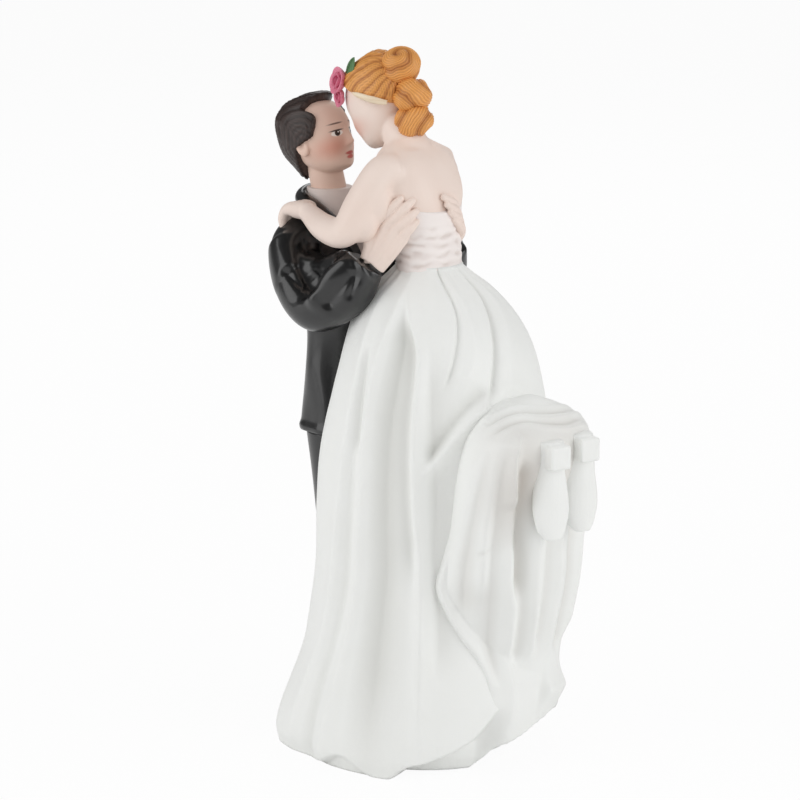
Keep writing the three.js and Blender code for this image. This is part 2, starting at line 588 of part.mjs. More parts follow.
const farFolds = skirtFolds.slice(0, mirroredFolds).map(([height, west, east, line]) => [
  height, east, west, line.map(([degrees, z]) => [mirrorShift - degrees, z])]);
const allSkirtFolds = [...skirtFolds, ...farFolds];

// The skirt gives way to the groom, and the underskirt stands back below the outer hem
function skirtReach(degrees, z) {
  const fromGroom = turnBetween(degrees, 180);
  const spread = graph(hollowSpread)(z / waistZ);
  const hollow = groomHollow * Math.exp(-((fromGroom / spread) ** 2)) * smooth(waistZ - z, ...hollowTop);
  const corner = Math.exp(-(((Math.abs(fromGroom) - 42) / 14) ** 2));
  const flare = hemFlare * corner * (1 - smooth(z, 0, flareHeight));
  const hem = graph(hemLine)(degrees);
  const under = 1 - smooth(z, hem - hemTurnIn, hem);
  const atBack = smooth(degrees, -25, 0) * (1 - smooth(degrees, 54, 76));
  const tuck = under * between(underskirtStep.sides, underskirtStep.back, atBack);
  const folds = foldLift(allSkirtFolds, degrees, z, 22) * (1 - 0.75 * under);
  return skirtRadiusAt(z) - hollow + flare - tuck + folds;
}

function trainReach(degrees, z) {
  const height = (z - trainHemZ) / (calfTopZ - trainHemZ);
  const edges = [graph(trainLeftEdge)(height), graph(trainRightEdge)(height)];
  const fromMiddle = degrees - between(...edges, 0.5);
  const share = Math.min(Math.abs(fromMiddle) / (0.5 * (edges[1] - edges[0])), 1);
  const [power, root] = fromMiddle < 0 ? trainEdgeTurn.left : trainEdgeTurn.right;
  const hem = graph(trainHemLine)(degrees);
  const above = smooth(z, hem - hemTurnIn, hem);
  const tuck = trainTuck * (2.2 - 1.2 * above) + groomHollow * smooth(Math.abs(degrees), 70, 110);
  const inside = skirtRadiusAt(z) - tuck;
  const back = graph(trainReachX)(height) - skirtAxisAt(z);
  const bump = above * Math.pow(1 - share ** power, root);
  return inside + bump * (back - inside + foldLift(trainFolds, degrees, z, 30));
}

function gownPart(reachAt, bottomZ, topZ, sides, rings, grow) {
  const heightAt = graph([[0, bottomZ], [0.7, between(bottomZ, topZ, 0.74)], [1, topZ]]);
  return bent(sides, rings, (point, angle, t, reach) => {
    const z = heightAt(t);
    const radius = reach * (reachAt(THREE.MathUtils.radToDeg(angle), z) + grow);
    const lift = t === 1 ? grow : 0;
    point.set(skirtAxisAt(z) + radius * Math.cos(angle), radius * Math.sin(angle), z + lift);
  });
}
const skirtForm = (grow = 0) => gownPart(skirtReach, 0, skirtTopZ, 80, 22, grow);
const trainForm = () => gownPart(trainReach, trainHemZ, calfTopZ, 66, 16, 0);

// Bride's shoe: an upper that tapers to the toe, with its flat sole to the back and a block heel on top
const soleX = calfReachX + brideShoe.behindTrain;
const heelZ = calfTopZ - brideShoe.belowCalf;
function shoeTurn(side) {
  const turn = new THREE.Matrix4().makeTranslation(soleX, shoeY[side], 0);
  turn.multiply(new THREE.Matrix4().makeRotationZ(radians(brideShoe.turn)));
  return turn.multiply(new THREE.Matrix4().makeTranslation(-soleX, -shoeY[side], 0));
}

function brideShoeForm(side, grow = 0) {
  const { length, halfWidth, depth } = brideShoe;
  const y = shoeY[side];
  const sections = [[0, 0.3, 0.45], [0.1, 0.55, 0.8], [0.28, 0.64, 1], [0.5, 0.76, 0.92], [0.7, 0.91, 0.78],
    [0.88, 1, 0.8], [1, 0.8, 0.7]];
  const upper = loft(sections.map(([rise, thick, wide]) => [
    soleX - 0.5 * thick * depth, y, heelZ - (1 - rise) * length, 0.5 * thick * depth, wide * halfWidth,
  ]), 14, 8, grow);
  const { reach, width, height } = heelBlock;
  const heel = new THREE.BoxGeometry(reach + 0.3 * depth + grow, width + 2 * grow, height + 2 * grow);
  heel.translate(soleX + 0.5 * (reach - 0.3 * depth), y, heelZ - 0.61 * height);
  return moved(unite([upper, solidOf(heel)]), shoeTurn(side));
}

function footPeg(side, grow = 0) {
  const y = shoeY[side];
  const z = heelZ - 0.28 * brideShoe.length;
  const root = new THREE.Vector3(soleX - 0.6 * brideShoe.depth, y, z).applyMatrix4(shoeTurn(side));
  return peg(root.toArray(), [calfReachX - 2.8 * pegLength, 0.85 * y, z], grow, 1.6 * pegRadius);
}

// Scene graph
const topper = new THREE.Group();
const groom = new THREE.Group();
const bride = new THREE.Group();
topper.add(groom, bride);

function addPiece(group, name, solid, colour) {
  const [color, roughness] = paint[colour];
  const material = new THREE.MeshStandardMaterial({ color, roughness, metalness: 0 });
  const mesh = new THREE.Mesh(geometryOf(solid), material);
  mesh.name = name;
  group.add(mesh);
}

function headGroup(parent, matrix) {
  const group = new THREE.Group();
  matrix.decompose(group.position, group.quaternion, group.scale);
  parent.add(group);
  return group;
}

// Groom's head, in its own frame
const groomHeadAt = plus(groomNeck, groomHeadFromNeck);
const groomHeadPlace = placing(groomHeadAt, groomHeadTurn);
const groomHeadBack = groomHeadPlace.clone().invert();
const groomHead = headGroup(groom, groomHeadPlace);
const groomThroat = (grow = 0) => limb([
  [neckX, 0, jacketNeckZ - 1.3 * pegLength], groomNeck,
  [groomHeadAt[0] + 0.18 * headHalfDepth, 0.5 * groomHeadAt[1], groomHeadAt[2] - 0.4 * headHeight],
], [neckRadius, neckRadius, neckRadius], 14, 4, grow);
const groomFace = (grow = 0) => unite([skull(grow), nose(grow), ear(1, grow), ear(-1, grow),
  moved(groomThroat(grow), groomHeadBack)]);
function groomHairForm(grow = 0) {
  const nape = egg(onHead(-0.47, 0, -0.15), onHead(0.72, 0.915, 0.33), [0, 0, 0], 12, grow);
  return unite([skull(hairThickness + grow), nape]);
}
const groomHair = cut(hairCap(groomHairForm(), 0.78, -0.17, -0.5), groomFace(glueGap));
addPiece(groomHead, "groom_head", groomFace(), "skin");
addPiece(groomHead, "groom_hair", groomHair, "brownHair");

// Bride's head, hair, rolled curls, rose, leaf and ribbon, in the head's own frame
const brideHeadAt = plus(waist, brideHeadFromWaist);
const brideHeadPlace = placing(brideHeadAt, brideHeadTurn);
const brideHeadBack = brideHeadPlace.clone().invert();
const brideHead = headGroup(bride, brideHeadPlace);
const [torsoTopX, , torsoTopZ] = sectionsFrom(waistX, waistZ, torsoSections).at(-1);
const brideThroat = (grow = 0) => limb([
  [torsoTopX + 1, 0, torsoTopZ - 1.6 * pegLength], [torsoTopX, 0, torsoTopZ - 1],
  [brideHeadAt[0] + 0.22 * headHalfDepth, 0, brideHeadAt[2] - 0.22 * headHeight],
], [brideNeckRadius, brideNeckRadius, brideNeckRadius], 14, 4, grow);
const brideFace = (grow = 0) => unite([skull(grow), nose(grow), moved(brideThroat(grow), brideHeadBack)]);
const brideCrown = (grow) => egg(onHead(-0.45, 0, 0.3), crownHalf, [0, 0, 0], 14, grow);
const brideHairForm = (grow = 0) => hairCap(unite([skull(hairThickness + grow), brideCrown(grow)]),
  0.494, -0.724, -0.33);

const curlAt = {
  upper: onHead(-1.14, 0, 0.28),
  middle: onHead(-1.18, 0.03, -0.127),
  lower: onHead(-0.917, 0.03, -0.414),
};
const curlForm = (name, grow = 0) => egg(curlAt[name], curlHalf[name], [0, 0, 0], 12, grow);
const pinned = (at, grow = 0) => peg(at.map((v) => v * 1.2), at.map((v) => v * 0.62), grow);
const roseAt = onHead(0.583, 0.82, 0.44);
const roseForm = (grow = 0) => unite([egg(roseAt, roseHalf, [0, 20, 0], 12, grow),
  egg(onHead(0.708, 0.82, 0.28), budHalf, [0, 0, 0], 10, grow)]);
const leafForm = (grow = 0) => egg(onHead(-0.083, 0.78, 0.56), leafHalf, [-49, 25, 0], 10, grow);
const ribbonPath = [onHead(0.05, 1.11, 0.19), onHead(-0.42, 1.12, 0.025), onHead(-0.82, 0.85, -0.12)];
const ribbonForm = (grow = 0) => limb(ribbonPath, [ribbonRadius, ribbonRadius, ribbonRadius], 8, 4, grow);
const pinsInHead = unite([...Object.values(curlAt), roseAt].map((at) => pinned(at, glueGap)));

const brideHair = cut(brideHairForm(), brideFace(glueGap), pinsInHead, ribbonForm(glueGap));
addPiece(brideHead, "bride_head", cut(brideFace(), pinsInHead), "skin");
addPiece(brideHead, "bride_hair", brideHair, "blondeHair");
Object.keys(curlAt).forEach((name, i, all) => {
  const above = all.slice(0, i).map((other) => curlForm(other, glueGap));
  const curl = cut(curlForm(name), brideHairForm(glueGap), brideFace(glueGap), ...above);
  addPiece(brideHead, `bride_curl_${name}`, unite([curl, pinned(curlAt[name])]), "blondeHair");
});
const rose = cut(roseForm(), brideHairForm(glueGap), brideFace(glueGap));
addPiece(brideHead, "bride_rose", unite([rose, pinned(roseAt)]), "rose");
addPiece(brideHead, "bride_rose_leaf", cut(leafForm(), brideHairForm(glueGap), roseForm(glueGap)), "leaf");
addPiece(brideHead, "bride_hair_ribbon", cut(ribbonForm(), brideFace(glueGap)), "ivory");

// Groom's clothes; her arms lie on his shoulders, so his lapels and sleeves are cut back from them
const groomSides = Object.keys(sideSign);
const brideSides = Object.keys(brideSign);
const throatSocket = groomThroat(glueGap);
const groomBackOfHead = unite([moved(groomHairForm(glueGap), groomHeadPlace), throatSocket]);
const armsClear = unite(brideSides.map((side) => brideArm(side, glueGap)));
addPiece(groom, "groom_shirt", cut(shirtForm(), throatSocket, groomBackOfHead), "shirt");
const jacketSockets = groomSides.flatMap((side) => [hipPeg(side, glueGap), shoulderPeg(side, glueGap)]);
const jacket = cut(jacketForm(), throatSocket, shirtForm(glueGap), ...jacketSockets);
const suitClear = [jacketForm(glueGap), shirtForm(glueGap), groomBackOfHead];
const lapels = cut(lapelForm(), ...suitClear, collarGap(), armsClear);
addPiece(groom, "groom_jacket", largest(jacket), "black");
addPiece(groom, "groom_lapels", largest(lapels), "black");

for (const side of groomSides) {
  const leg = cut(unite([trouser(side), hipPeg(side)]), groomShoe(side, glueGap), anklePeg(side, glueGap));
  addPiece(groom, `groom_${side}_trouser`, leg, "black");
  addPiece(groom, `groom_${side}_shoe`, unite([groomShoe(side), anklePeg(side)]), "black");
  const arm = largest(cut(sleeve(side), jacketForm(glueGap), lapelForm(glueGap), armsClear, torsoClear(),
    wristPeg(side, glueGap)));
  addPiece(groom, `groom_${side}_sleeve`, unite([arm, shoulderPeg(side)]), "black");
  const hand = largest(cut(groomHand(side), torsoClear(), sleeve(side, glueGap), armsClear));
  addPiece(groom, `groom_${side}_hand`, unite([hand, wristPeg(side)]), "skin");
}

// Bride's body and gown
const armSockets = brideSides.map((side) => armPeg(side, glueGap));
const torso = cut(unite([bareTorso(), bustPeg()]), brideThroat(glueGap), ...armSockets);
const bodice = cut(unite([bodiceForm(), waistPeg()]), bustPeg(glueGap), ...armSockets);
addPiece(bride, "bride_torso", torso, "skin");
addPiece(bride, "bride_bodice", bodice, "gown");
for (const side of brideSides) {
  const arm = largest(cut(brideArm(side), torsoClear(), brideThroat(glueGap), ...suitClear));
  addPiece(bride, `bride_${side}_arm`, unite([arm, armPeg(side)]), "skin");
}

const groomClear = groomSides.flatMap((side) => [trouser(side, glueGap), groomShoe(side, glueGap),
  sleeve(side, glueGap), groomHand(side, glueGap)]);
const footSockets = brideSides.map((side) => footPeg(side, glueGap));
const shoesClear = brideSides.map((side) => brideShoeForm(side, glueGap));
const bodiceSeat = [bodiceForm(glueGap), waistPeg(glueGap)];
const skirt = cut(skirtForm(), jacketForm(glueGap), ...bodiceSeat, ...groomClear, ...footSockets);
addPiece(bride, "bride_skirt", largest(skirt), "gown");
const train = cut(trainForm(), skirtForm(glueGap), ...shoesClear, ...footSockets);
addPiece(bride, "bride_train", largest(train), "gown");
for (const side of brideSides) {
  addPiece(bride, `bride_${side}_shoe`, unite([brideShoeForm(side), footPeg(side)]), "gown");
}

export default topper;
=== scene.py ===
from math import acos, atan2, cos, exp, pi, radians, sin

import bmesh
import bpy
import numpy as np
from mathutils import Euler, Matrix, Vector, noise


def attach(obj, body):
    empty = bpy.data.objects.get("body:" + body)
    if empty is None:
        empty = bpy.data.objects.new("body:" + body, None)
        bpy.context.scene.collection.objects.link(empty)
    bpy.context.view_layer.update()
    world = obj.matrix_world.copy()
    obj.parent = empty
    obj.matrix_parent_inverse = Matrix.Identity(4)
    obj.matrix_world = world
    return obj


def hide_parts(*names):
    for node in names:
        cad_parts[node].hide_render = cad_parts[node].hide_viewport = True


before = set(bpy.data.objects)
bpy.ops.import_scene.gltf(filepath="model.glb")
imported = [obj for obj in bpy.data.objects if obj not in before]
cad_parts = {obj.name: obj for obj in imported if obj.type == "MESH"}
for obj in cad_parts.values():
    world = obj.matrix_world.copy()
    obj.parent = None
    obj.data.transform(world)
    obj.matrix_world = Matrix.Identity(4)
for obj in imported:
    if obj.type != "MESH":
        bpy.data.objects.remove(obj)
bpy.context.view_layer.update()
mm = 0.001  # everything is drawn in millimetres and scaled once, in finishPiece
print("frame loaded:", len(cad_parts), "castings")


# curves and grids that the pieces share

def smoothStep(value, low, high):
    share = np.clip((value - low) / (high - low), 0, 1)
    return share * share * (3 - 2 * share)


def curveThrough(pairs):  # a smooth line through (place, value) pairs
    def slope(i):
        a, b = pairs[max(i - 1, 0)], pairs[min(i + 1, len(pairs) - 1)]
        return (b[1] - a[1]) / (b[0] - a[0])

    def valueAt(place):
        i = 0
        while i < len(pairs) - 2 and place >= pairs[i + 1][0]:
            i += 1
        (fromPlace, fromValue), (toPlace, toValue) = pairs[i], pairs[i + 1]
        span, rise = toPlace - fromPlace, toValue - fromValue
        t = min(max((place - fromPlace) / span, 0), 1)
        bend = (1 - t) * (slope(i) * span - rise) - t * (slope(i + 1) * span - rise)
        return fromValue + t * rise + t * (1 - t) * bend

    return valueAt


def splineAt(points, t):
    spans = len(points) - 1
    i = min(int(t * spans), spans - 1)
    w = t * spans - i
    b, c = points[i], points[i + 1]
    a = points[i - 1] if i else 2 * b - c
    d = points[i + 2] if i + 2 <= spans else 2 * c - b
    even = 2 * b + (c - a) * w
    return 0.5 * (even + (2 * a - 5 * b + 4 * c - d) * w ** 2 + (3 * b - a - 3 * c + d) * w ** 3)


def creaseLayer(bm):  # shade in the hollows, read by the paints
    return bm.verts.layers.float.get("crease") or bm.verts.layers.float.new("crease")


def rollGrid(bm, sides, rows, place):  # a flat grid rolled into a closed tube
    crease = creaseLayer(bm)
    sheet = bmesh.ops.create_grid(bm, x_segments=sides, y_segments=rows, size=1)["verts"]
    for v in sheet:
        v.co, v[crease] = place(pi * v.co.x, 0.5 + 0.5 * v.co.y)
    bmesh.ops.remove_doubles(bm, verts=sheet, dist=1e-4)
    bmesh.ops.holes_fill(bm, edges=[e for e in bm.edges if e.is_boundary])


def addLoft(bm, sections, sides, rows, shape=None):
    # level ovals (x, y, z, half depth, half width); shape() swells the surface and shades it
    stations = [Vector(s) for s in sections]

    def place(turn, rise):
        x, y, z, depth, width = splineAt(stations, rise)
        swell, crease = shape(turn, z) if shape else (0, 0)
        return Vector((x + (depth + swell) * cos(turn), y + (width + swell) * sin(turn), z)), crease

    rollGrid(bm, sides, rows, place)


def addLimb(bm, points, radii, sides, rows, shape=None):
    path = [Vector(p) for p in points]
    sizes = [Vector((r, 0)) for r in radii]
    up = Vector((0.31, 0.17, 1))  # no limb runs this way

    def place(turn, t):
        along = (splineAt(path, min(t + 0.01, 1)) - splineAt(path, max(t - 0.01, 0))).normalized()
        across = up.cross(along).normalized()
        out = cos(turn) * across + sin(turn) * along.cross(across)
        swell, crease = shape(turn, t, out) if shape else (0, 0)
        return splineAt(path, t) + float(splineAt(sizes, t).x + swell) * out, crease

    rollGrid(bm, sides, rows, place)


def addBall(bm, at, half, turn=(0, 0, 0), detail=4):
    spin = Euler([radians(a) for a in turn]).to_matrix().to_4x4()
    place = Matrix.Translation(at) @ spin @ Matrix.Diagonal((*half, 1))
    return bmesh.ops.create_icosphere(bm, subdivisions=detail, radius=1, matrix=place)["verts"]


def press(verts, dabs):  # soft dabs of a modelling tool: centre, half sizes, push
    for v in verts:
        move = Vector((0, 0, 0))
        for at, size, push in dabs:
            away = sum(((a - b) / s) ** 2 for a, b, s in zip(v.co, at, size))
            if away < 9:  # nothing beyond three half sizes
                move += exp(-away) * Vector(push)
        v.co += move


def nearLine(at, line, fineness):  # distance to a drawn line, the side of it, and the share along it
    points = [Vector(p) for p in line]
    knots = [np.array(splineAt(points, t)) for t in np.linspace(0, 1, fineness * len(line))]
    near, side, along = (np.full(at.shape[:-1], start) for start in (1e9, 0.0, 0.0))
    for n, (a, b) in enumerate(zip(knots, knots[1:])):
        step, away = b - a, at - a
        t = np.clip(away @ step / (step @ step), 0, 1)
        gap = np.linalg.norm(away - t[..., None] * step, axis=-1)
        closer = gap < near
        near = np.where(closer, gap, near)
        side = np.where(closer, step[0] * away[..., 1] - step[1] * away[..., 0], side)
        along = np.where(closer, (n + t) / (len(knots) - 1), along)
    return near, side, along


def score(bm, marks, shade=0.0):  # tool marks along lines of points: lift, soft width, line
    crease = creaseLayer(bm)
    bm.normal_update()
    at = np.array([v.co for v in bm.verts])
    lift = np.zeros(len(at))
    for height, width, line in marks:
        near, _, along = nearLine(at, line, 6)
        fading = smoothStep(along, 0, 0.18) * (1 - smoothStep(along, 0.82, 1))
        lift += height * fading * np.exp(-(near / width) ** 1.6)
    for v, rise in zip(bm.verts, lift):
        v.co += float(rise) * v.normal
        v[crease] = min(1, max(v[crease], -shade * float(rise)))


def onSide(point, side):  # 1 keeps a point, -1 puts it on the other side
    x, y, z = point
    return x, side * y, z


def mirrored(dabs):
    return [(onSide(at, side), size, onSide(push, side)) for at, size, push in dabs for side in (1, -1)]


def linkMesh(bm, name):
    bmesh.ops.recalc_face_normals(bm, faces=bm.faces)
    for face in bm.faces:
        face.smooth = True
    mesh = bpy.data.meshes.new(name)
    bm.to_mesh(mesh)
    piece = bpy.data.objects.new(name, mesh)
    bpy.context.scene.collection.objects.link(piece)
    return piece


def addFuse(piece, voxel, rounds):  # overlapping lumps become one eased skin
    fuse = piece.modifiers.new("fuse", "REMESH")
    fuse.mode = "VOXEL"
    fuse.voxel_size = voxel
    fuse.use_smooth_shade = True
    ease = piece.modifiers.new("ease", "SMOOTH")
    ease.factor = 0.5
    ease.iterations = rounds


def melt(bm, voxel, rounds):  # fuses what is drawn so far, so that finer work can go on top
    lumps = linkMesh(bm, "lumps")
    addFuse(lumps, voxel, rounds)
    skin = bpy.data.meshes.new_from_object(lumps.evaluated_get(bpy.context.evaluated_depsgraph_get()))
    bm.clear()
    bm.from_mesh(skin)
    bpy.data.meshes.remove(skin)
    bpy.data.meshes.remove(lumps.data)


def finishPiece(bm, name, material, nodes, voxel=0, rounds=0, levels=0):
    bmesh.ops.scale(bm, vec=Vector((mm, mm, mm)), verts=bm.verts)
    piece = linkMesh(bm, name)
    bm.free()
    piece.data.materials.append(material)
    if voxel:
        addFuse(piece, voxel * mm, rounds)
    if levels:
        finer = piece.modifiers.new("finer", "SUBSURF")
        finer.levels = finer.render_levels = levels
    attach(piece, "root")
    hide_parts(*nodes)
    print("made", name)


# paints

def paintColor(code):  # a colour code as a painter reads it, made linear
    channels = [int(code[i:i + 2], 16) / 255 for i in (0, 2, 4)]
    return tuple(c / 12.92 if c <= 0.04045 else ((c + 0.055) / 1.055) ** 2.4 for c in channels) + (1,)


def newGroup(name, inputs, outputs):
    group = bpy.data.node_groups.new(name, "ShaderNodeTree")
    for label, kind, value in inputs:
        socket = group.interface.new_socket(label, in_out="INPUT", socket_type="NodeSocket" + kind)
        socket.default_value = value
    for label in outputs:
        group.interface.new_socket(label, in_out="OUTPUT", socket_type="NodeSocketFloat")
    return group, group.nodes.new("NodeGroupInput"), group.nodes.new("NodeGroupOutput")


def feed(tree, socket, value):  # a link from another node, or a plain value
    if hasattr(value, "is_linked"):
        tree.links.new(value, socket)
    elif value is not None:
        socket.default_value = value


def addNode(tree, kind, inputs=None, **settings):
    node = tree.nodes.new("ShaderNode" + kind)
    for label, value in settings.items():
        setattr(node, label, value)
    for label, value in (inputs or {}).items():
        feed(tree, node.inputs[label], value)
    return node


def mathNode(tree, operation, a, b=None):
    return addNode(tree, "Math", {0: a, 1: b}, operation=operation).outputs[0]


def mixColor(tree, mask, below, above):
    mix = addNode(tree, "Mix", {"Factor": mask, "A": below, "B": above}, data_type="RGBA")
    return mix.outputs["Result"]


# uneven brush coats and the grain of the casting under them
handPaint, given, out = newGroup("handPaint", [
    ("Patch", "Float", 140.0), ("Grain", "Float", 1500.0), ("Brush", "Float", 800.0)],
    ["Mottle", "Grain", "Brush"])
evenly = addNode(handPaint, "TexCoord").outputs["Object"]
drawnOut = addNode(handPaint, "Mapping", {"Vector": evenly, "Scale": (1, 1, 0.09)})  # brush lines run down
for label, scale, detail, vector in (
        ("Mottle", "Patch", 3, evenly), ("Grain", "Grain", 2, evenly),
        ("Brush", "Brush", 4, drawnOut.outputs["Vector"])):
    cloud = addNode(handPaint, "TexNoise", {
        "Vector": vector, "Scale": given.outputs[scale], "Detail": detail})
    handPaint.links.new(cloud.outputs["Fac"], out.inputs[label])

# a soft-edged oval of paint at a point
paintSpot, given, out = newGroup("paintSpot", [
    ("Point", "Vector", (0, 0, 0)), ("Center", "Vector", (0, 0, 0)), ("Size", "Vector", (1, 1, 1)),
    ("Softness", "Float", 0.2)], ["Mask"])
fromCenter = addNode(paintSpot, "VectorMath", {0: given.outputs["Point"], 1: given.outputs["Center"]},
                     operation="SUBTRACT")
inSizes = addNode(paintSpot, "VectorMath", {0: fromCenter.outputs[0], 1: given.outputs["Size"]},
                  operation="DIVIDE")
farness = addNode(paintSpot, "VectorMath", {0: inSizes.outputs[0]}, operation="LENGTH")
fade = addNode(paintSpot, "MapRange", {
    "Value": farness.outputs["Value"], "To Min": 1, "To Max": 0,
    "From Min": mathNode(paintSpot, "SUBTRACT", 1.0, given.outputs["Softness"]),
    "From Max": mathNode(paintSpot, "ADD", 1.0, given.outputs["Softness"])}, interpolation_type="SMOOTHSTEP")
paintSpot.links.new(fade.outputs["Result"], out.inputs["Mask"])


def paintSpots(tree, color, point, spots):  # centre, half sizes, softness, colour and strength of each
    for center, size, softness, code, amount in spots:
        spot = addNode(tree, "Group", {"Point": point, "Center": center, "Size": size, "Softness": softness},
                       node_tree=paintSpot)
        strength = mathNode(tree, "MULTIPLY", spot.outputs["Mask"], amount)
        color = mixColor(tree, strength, color, paintColor(code))
    return color


def paintMaterial(name, look, details=None):
    # base coat, second tone in patches, paint wash and painted shade in the creases, then painted details
    material = bpy.data.materials.new(name)
    material.use_nodes = True
    tree = material.node_tree
    coat = addNode(tree, "Group", {"Patch": look.get("patch", 140)}, node_tree=handPaint)
    patches = mathNode(tree, "MULTIPLY", coat.outputs["Mottle"], look.get("mottle", 0.6))
    color = mixColor(tree, patches, paintColor(look["base"]), paintColor(look["second"]))
    if "shadeAndWash" in look:
        # the crease attribute darkens the hollows: partly the figurine's paint wash, partly painted shade
        hollow = addNode(tree, "Attribute", attribute_name="crease")
        amount = mathNode(tree, "MULTIPLY", hollow.outputs["Fac"], look.get("shadeAndWashAmount", 0.8))
        color = mixColor(tree, amount, color, paintColor(look["shadeAndWash"]))
    if details:
        color = details(tree, color)
    smoothest, roughest = look["roughness"]
    gloss = addNode(tree, "MapRange", {
        "Value": coat.outputs["Mottle"], "To Min": smoothest, "To Max": roughest})
    brushed = mathNode(tree, "MULTIPLY", coat.outputs["Brush"], look.get("brush", 0))
    bump = addNode(tree, "Bump", {"Strength": look.get("bump", 0.12), "Distance": 0.1 * mm,
                                  "Height": mathNode(tree, "ADD", coat.outputs["Grain"], brushed)})
    for label, value in {
            "Base Color": color, "Roughness": gloss.outputs["Result"], "Normal": bump.outputs["Normal"],
            "IOR": look.get("ior", 1.5), "Coat Weight": look.get("coat", 0), "Coat Roughness": 0.12}.items():
        feed(tree, tree.nodes["Principled BSDF"].inputs[label], value)
    return material


# heads: both share one skull, drawn with the face along +X; the faces are a plain doll's
head = {
    "halfDepth": 7.2, "halfWidth": 5.9, "height": 15.7, "hair": 1.1,
    "sections": [  # rise, forward, depth, width, all as shares
        (-0.5, 0.42, 0.2, 0.28), (-0.435, 0.32, 0.5, 0.58), (-0.28, 0.17, 0.74, 0.82),
        (-0.09, 0.05, 0.93, 0.95), (0.13, 0, 1, 1), (0.32, -0.05, 0.88, 0.9),
        (0.44, -0.06, 0.58, 0.6), (0.5, -0.06, 0.22, 0.24)],
    "face": mirrored([
        ((6.6, 2.4, -0.4), (1.6, 1.5, 1.1), (-0.35, 0, 0)),      # sockets
        ((6.5, 2.4, -0.5), (1.2, 0.9, 0.6), (0.25, 0, 0)),       # lids
        ((6.8, 1.9, 1.3), (1.4, 1.5, 0.6), (0.15, 0, 0)),        # brows
        ((5.4, 3.4, -2.9), (1.8, 1.5, 1.6), (0.16, 0.14, 0)),    # cheeks
        ((6.4, 0.75, -3.1), (0.8, 0.5, 0.5), (0.25, 0.06, 0)),   # wings of the nose
    ]) + [
        ((7.0, 0, -0.4), (1.2, 0.62, 1.2), (0.4, 0, 0)),
        ((6.9, 0, -1.9), (1.2, 0.62, 0.9), (0.7, 0, 0)),
        ((6.8, 0, -2.8), (1.2, 0.75, 0.7), (1.0, 0, 0)),         # tip of the nose
        ((6.0, 0, -4.7), (1.0, 1.0, 0.34), (0.4, 0, 0)),         # upper lip
        ((5.7, 0, -5.5), (1.0, 0.85, 0.36), (0.45, 0, 0)),       # lower lip
        ((5.9, 0, -5.1), (1.0, 1.1, 0.13), (-0.2, 0, 0)),
        ((4.9, 0, -7.0), (1.2, 1.3, 0.9), (0.5, 0, 0)),          # chin
    ],
}
skullForward, skullDepth, skullWidth = (
    curveThrough([(s[0], s[i]) for s in head["sections"]]) for i in (1, 2, 3))


def skullPoint(way, swell=0.0):  # way is a unit direction from the middle of the head
    rise = 0.5 * way.z
    level = Vector((way.x, way.y))
    if level.length > 1e-6:
        level *= min(1, level.length / 0.3) / level.length
    return Vector((
        head["halfDepth"] * skullForward(rise) + level.x * (head["halfDepth"] * skullDepth(rise) + swell),
        level.y * (head["halfWidth"] * skullWidth(rise) + swell),
        head["height"] * rise + swell * way.z))


def headPlace(at, pitch, yaw):
    turn = Matrix.Rotation(radians(yaw), 4, "Z") @ Matrix.Rotation(radians(-pitch), 4, "Y")
    return Matrix.Translation(at) @ turn


def addSkull(bm, place):
    verts = bmesh.ops.create_icosphere(bm, subdivisions=6, radius=1)["verts"]
    for v in verts:
        v.co = skullPoint(v.co.normalized())
    press(verts, head["face"])
    bmesh.ops.transform(bm, matrix=place, verts=verts)


def addHair(bm, place, covers, strands, style):
    # the skull swollen where hair grows and sunk under the skin elsewhere, with combed strands
    crease = creaseLayer(bm)
    verts = bmesh.ops.create_icosphere(bm, subdivisions=6, radius=1)["verts"]
    for v in verts:
        way = v.co.normalized()
        base = skullPoint(way)
        grown = smoothStep(covers(base), -0.35, 0.5)
        groove = strands(base)
        v.co = skullPoint(way, -1.0 + grown * (1.0 + head["hair"] - style["depth"] * groove))
        # dark paint wash and painted shade in the grooves between strands
        v[crease] = groove * grown
    press(verts, style["dabs"])
    bmesh.ops.transform(bm, matrix=place, verts=verts)


def strandGroove(phase, sharp=2.2):  # 0 on a strand's back, 1 in the groove beside it
    return abs(cos(pi * phase)) ** sharp


groomHeadAt = (-26.3, -1.3, 120.6)
groomHeadTurn = (18, 10)
brideHeadAt = (-10.3, 0, 128.7)
brideHeadTurn = (-28, 180)


def facePaint(at, turn, iris, blush):  # in the head's own millimetres, both sides at once
    spots = [
        ((5.6, 3.5, -3.0), (4, 2.3, 1.8), 0.9, blush, 0.6),
        ((6.6, 0, -4.75), (3, 1.35, 0.36), 0.3, "b8423c", 0.9),      # lips
        ((6.6, 0, -5.5), (3, 1.1, 0.42), 0.3, "c04a42", 0.9),
        ((6.6, 2.4, -0.45), (3, 1.2, 0.58), 0.12, "f3ece6", 1),      # eyes
        ((6.6, 2.35, -0.42), (3, 0.56, 0.6), 0.12, iris, 1),
        ((6.6, 2.35, -0.42), (3, 0.28, 0.3), 0.2, "14100e", 1),
        # a small white glint in each eye: a painted highlight
        ((6.6, 2.2, -0.22), (3, 0.14, 0.14), 0.3, "f8f4f0", 1),
        ((6.6, 2.45, 0.12), (3, 1.35, 0.17), 0.35, "2a1d18", 0.95),  # lids and brows
        ((6.6, 2.5, 1.5), (3, 1.35, 0.17), 0.5, "4a352a", 0.85),
    ]

    def details(tree, color):
        local = addNode(tree, "Mapping", {
            "Vector": addNode(tree, "TexCoord").outputs["Object"], "Location": [mm * v for v in at],
            "Rotation": (0, radians(-turn[0]), radians(turn[1])), "Scale": (mm, mm, mm)},
            vector_type="TEXTURE")
        apart = addNode(tree, "SeparateXYZ", {0: local.outputs["Vector"]}).outputs
        folded = addNode(tree, "CombineXYZ", {
            "X": apart["X"], "Y": mathNode(tree, "ABSOLUTE", apart["Y"]), "Z": apart["Z"]})
        return paintSpots(tree, color, folded.outputs[0], spots)

    return details


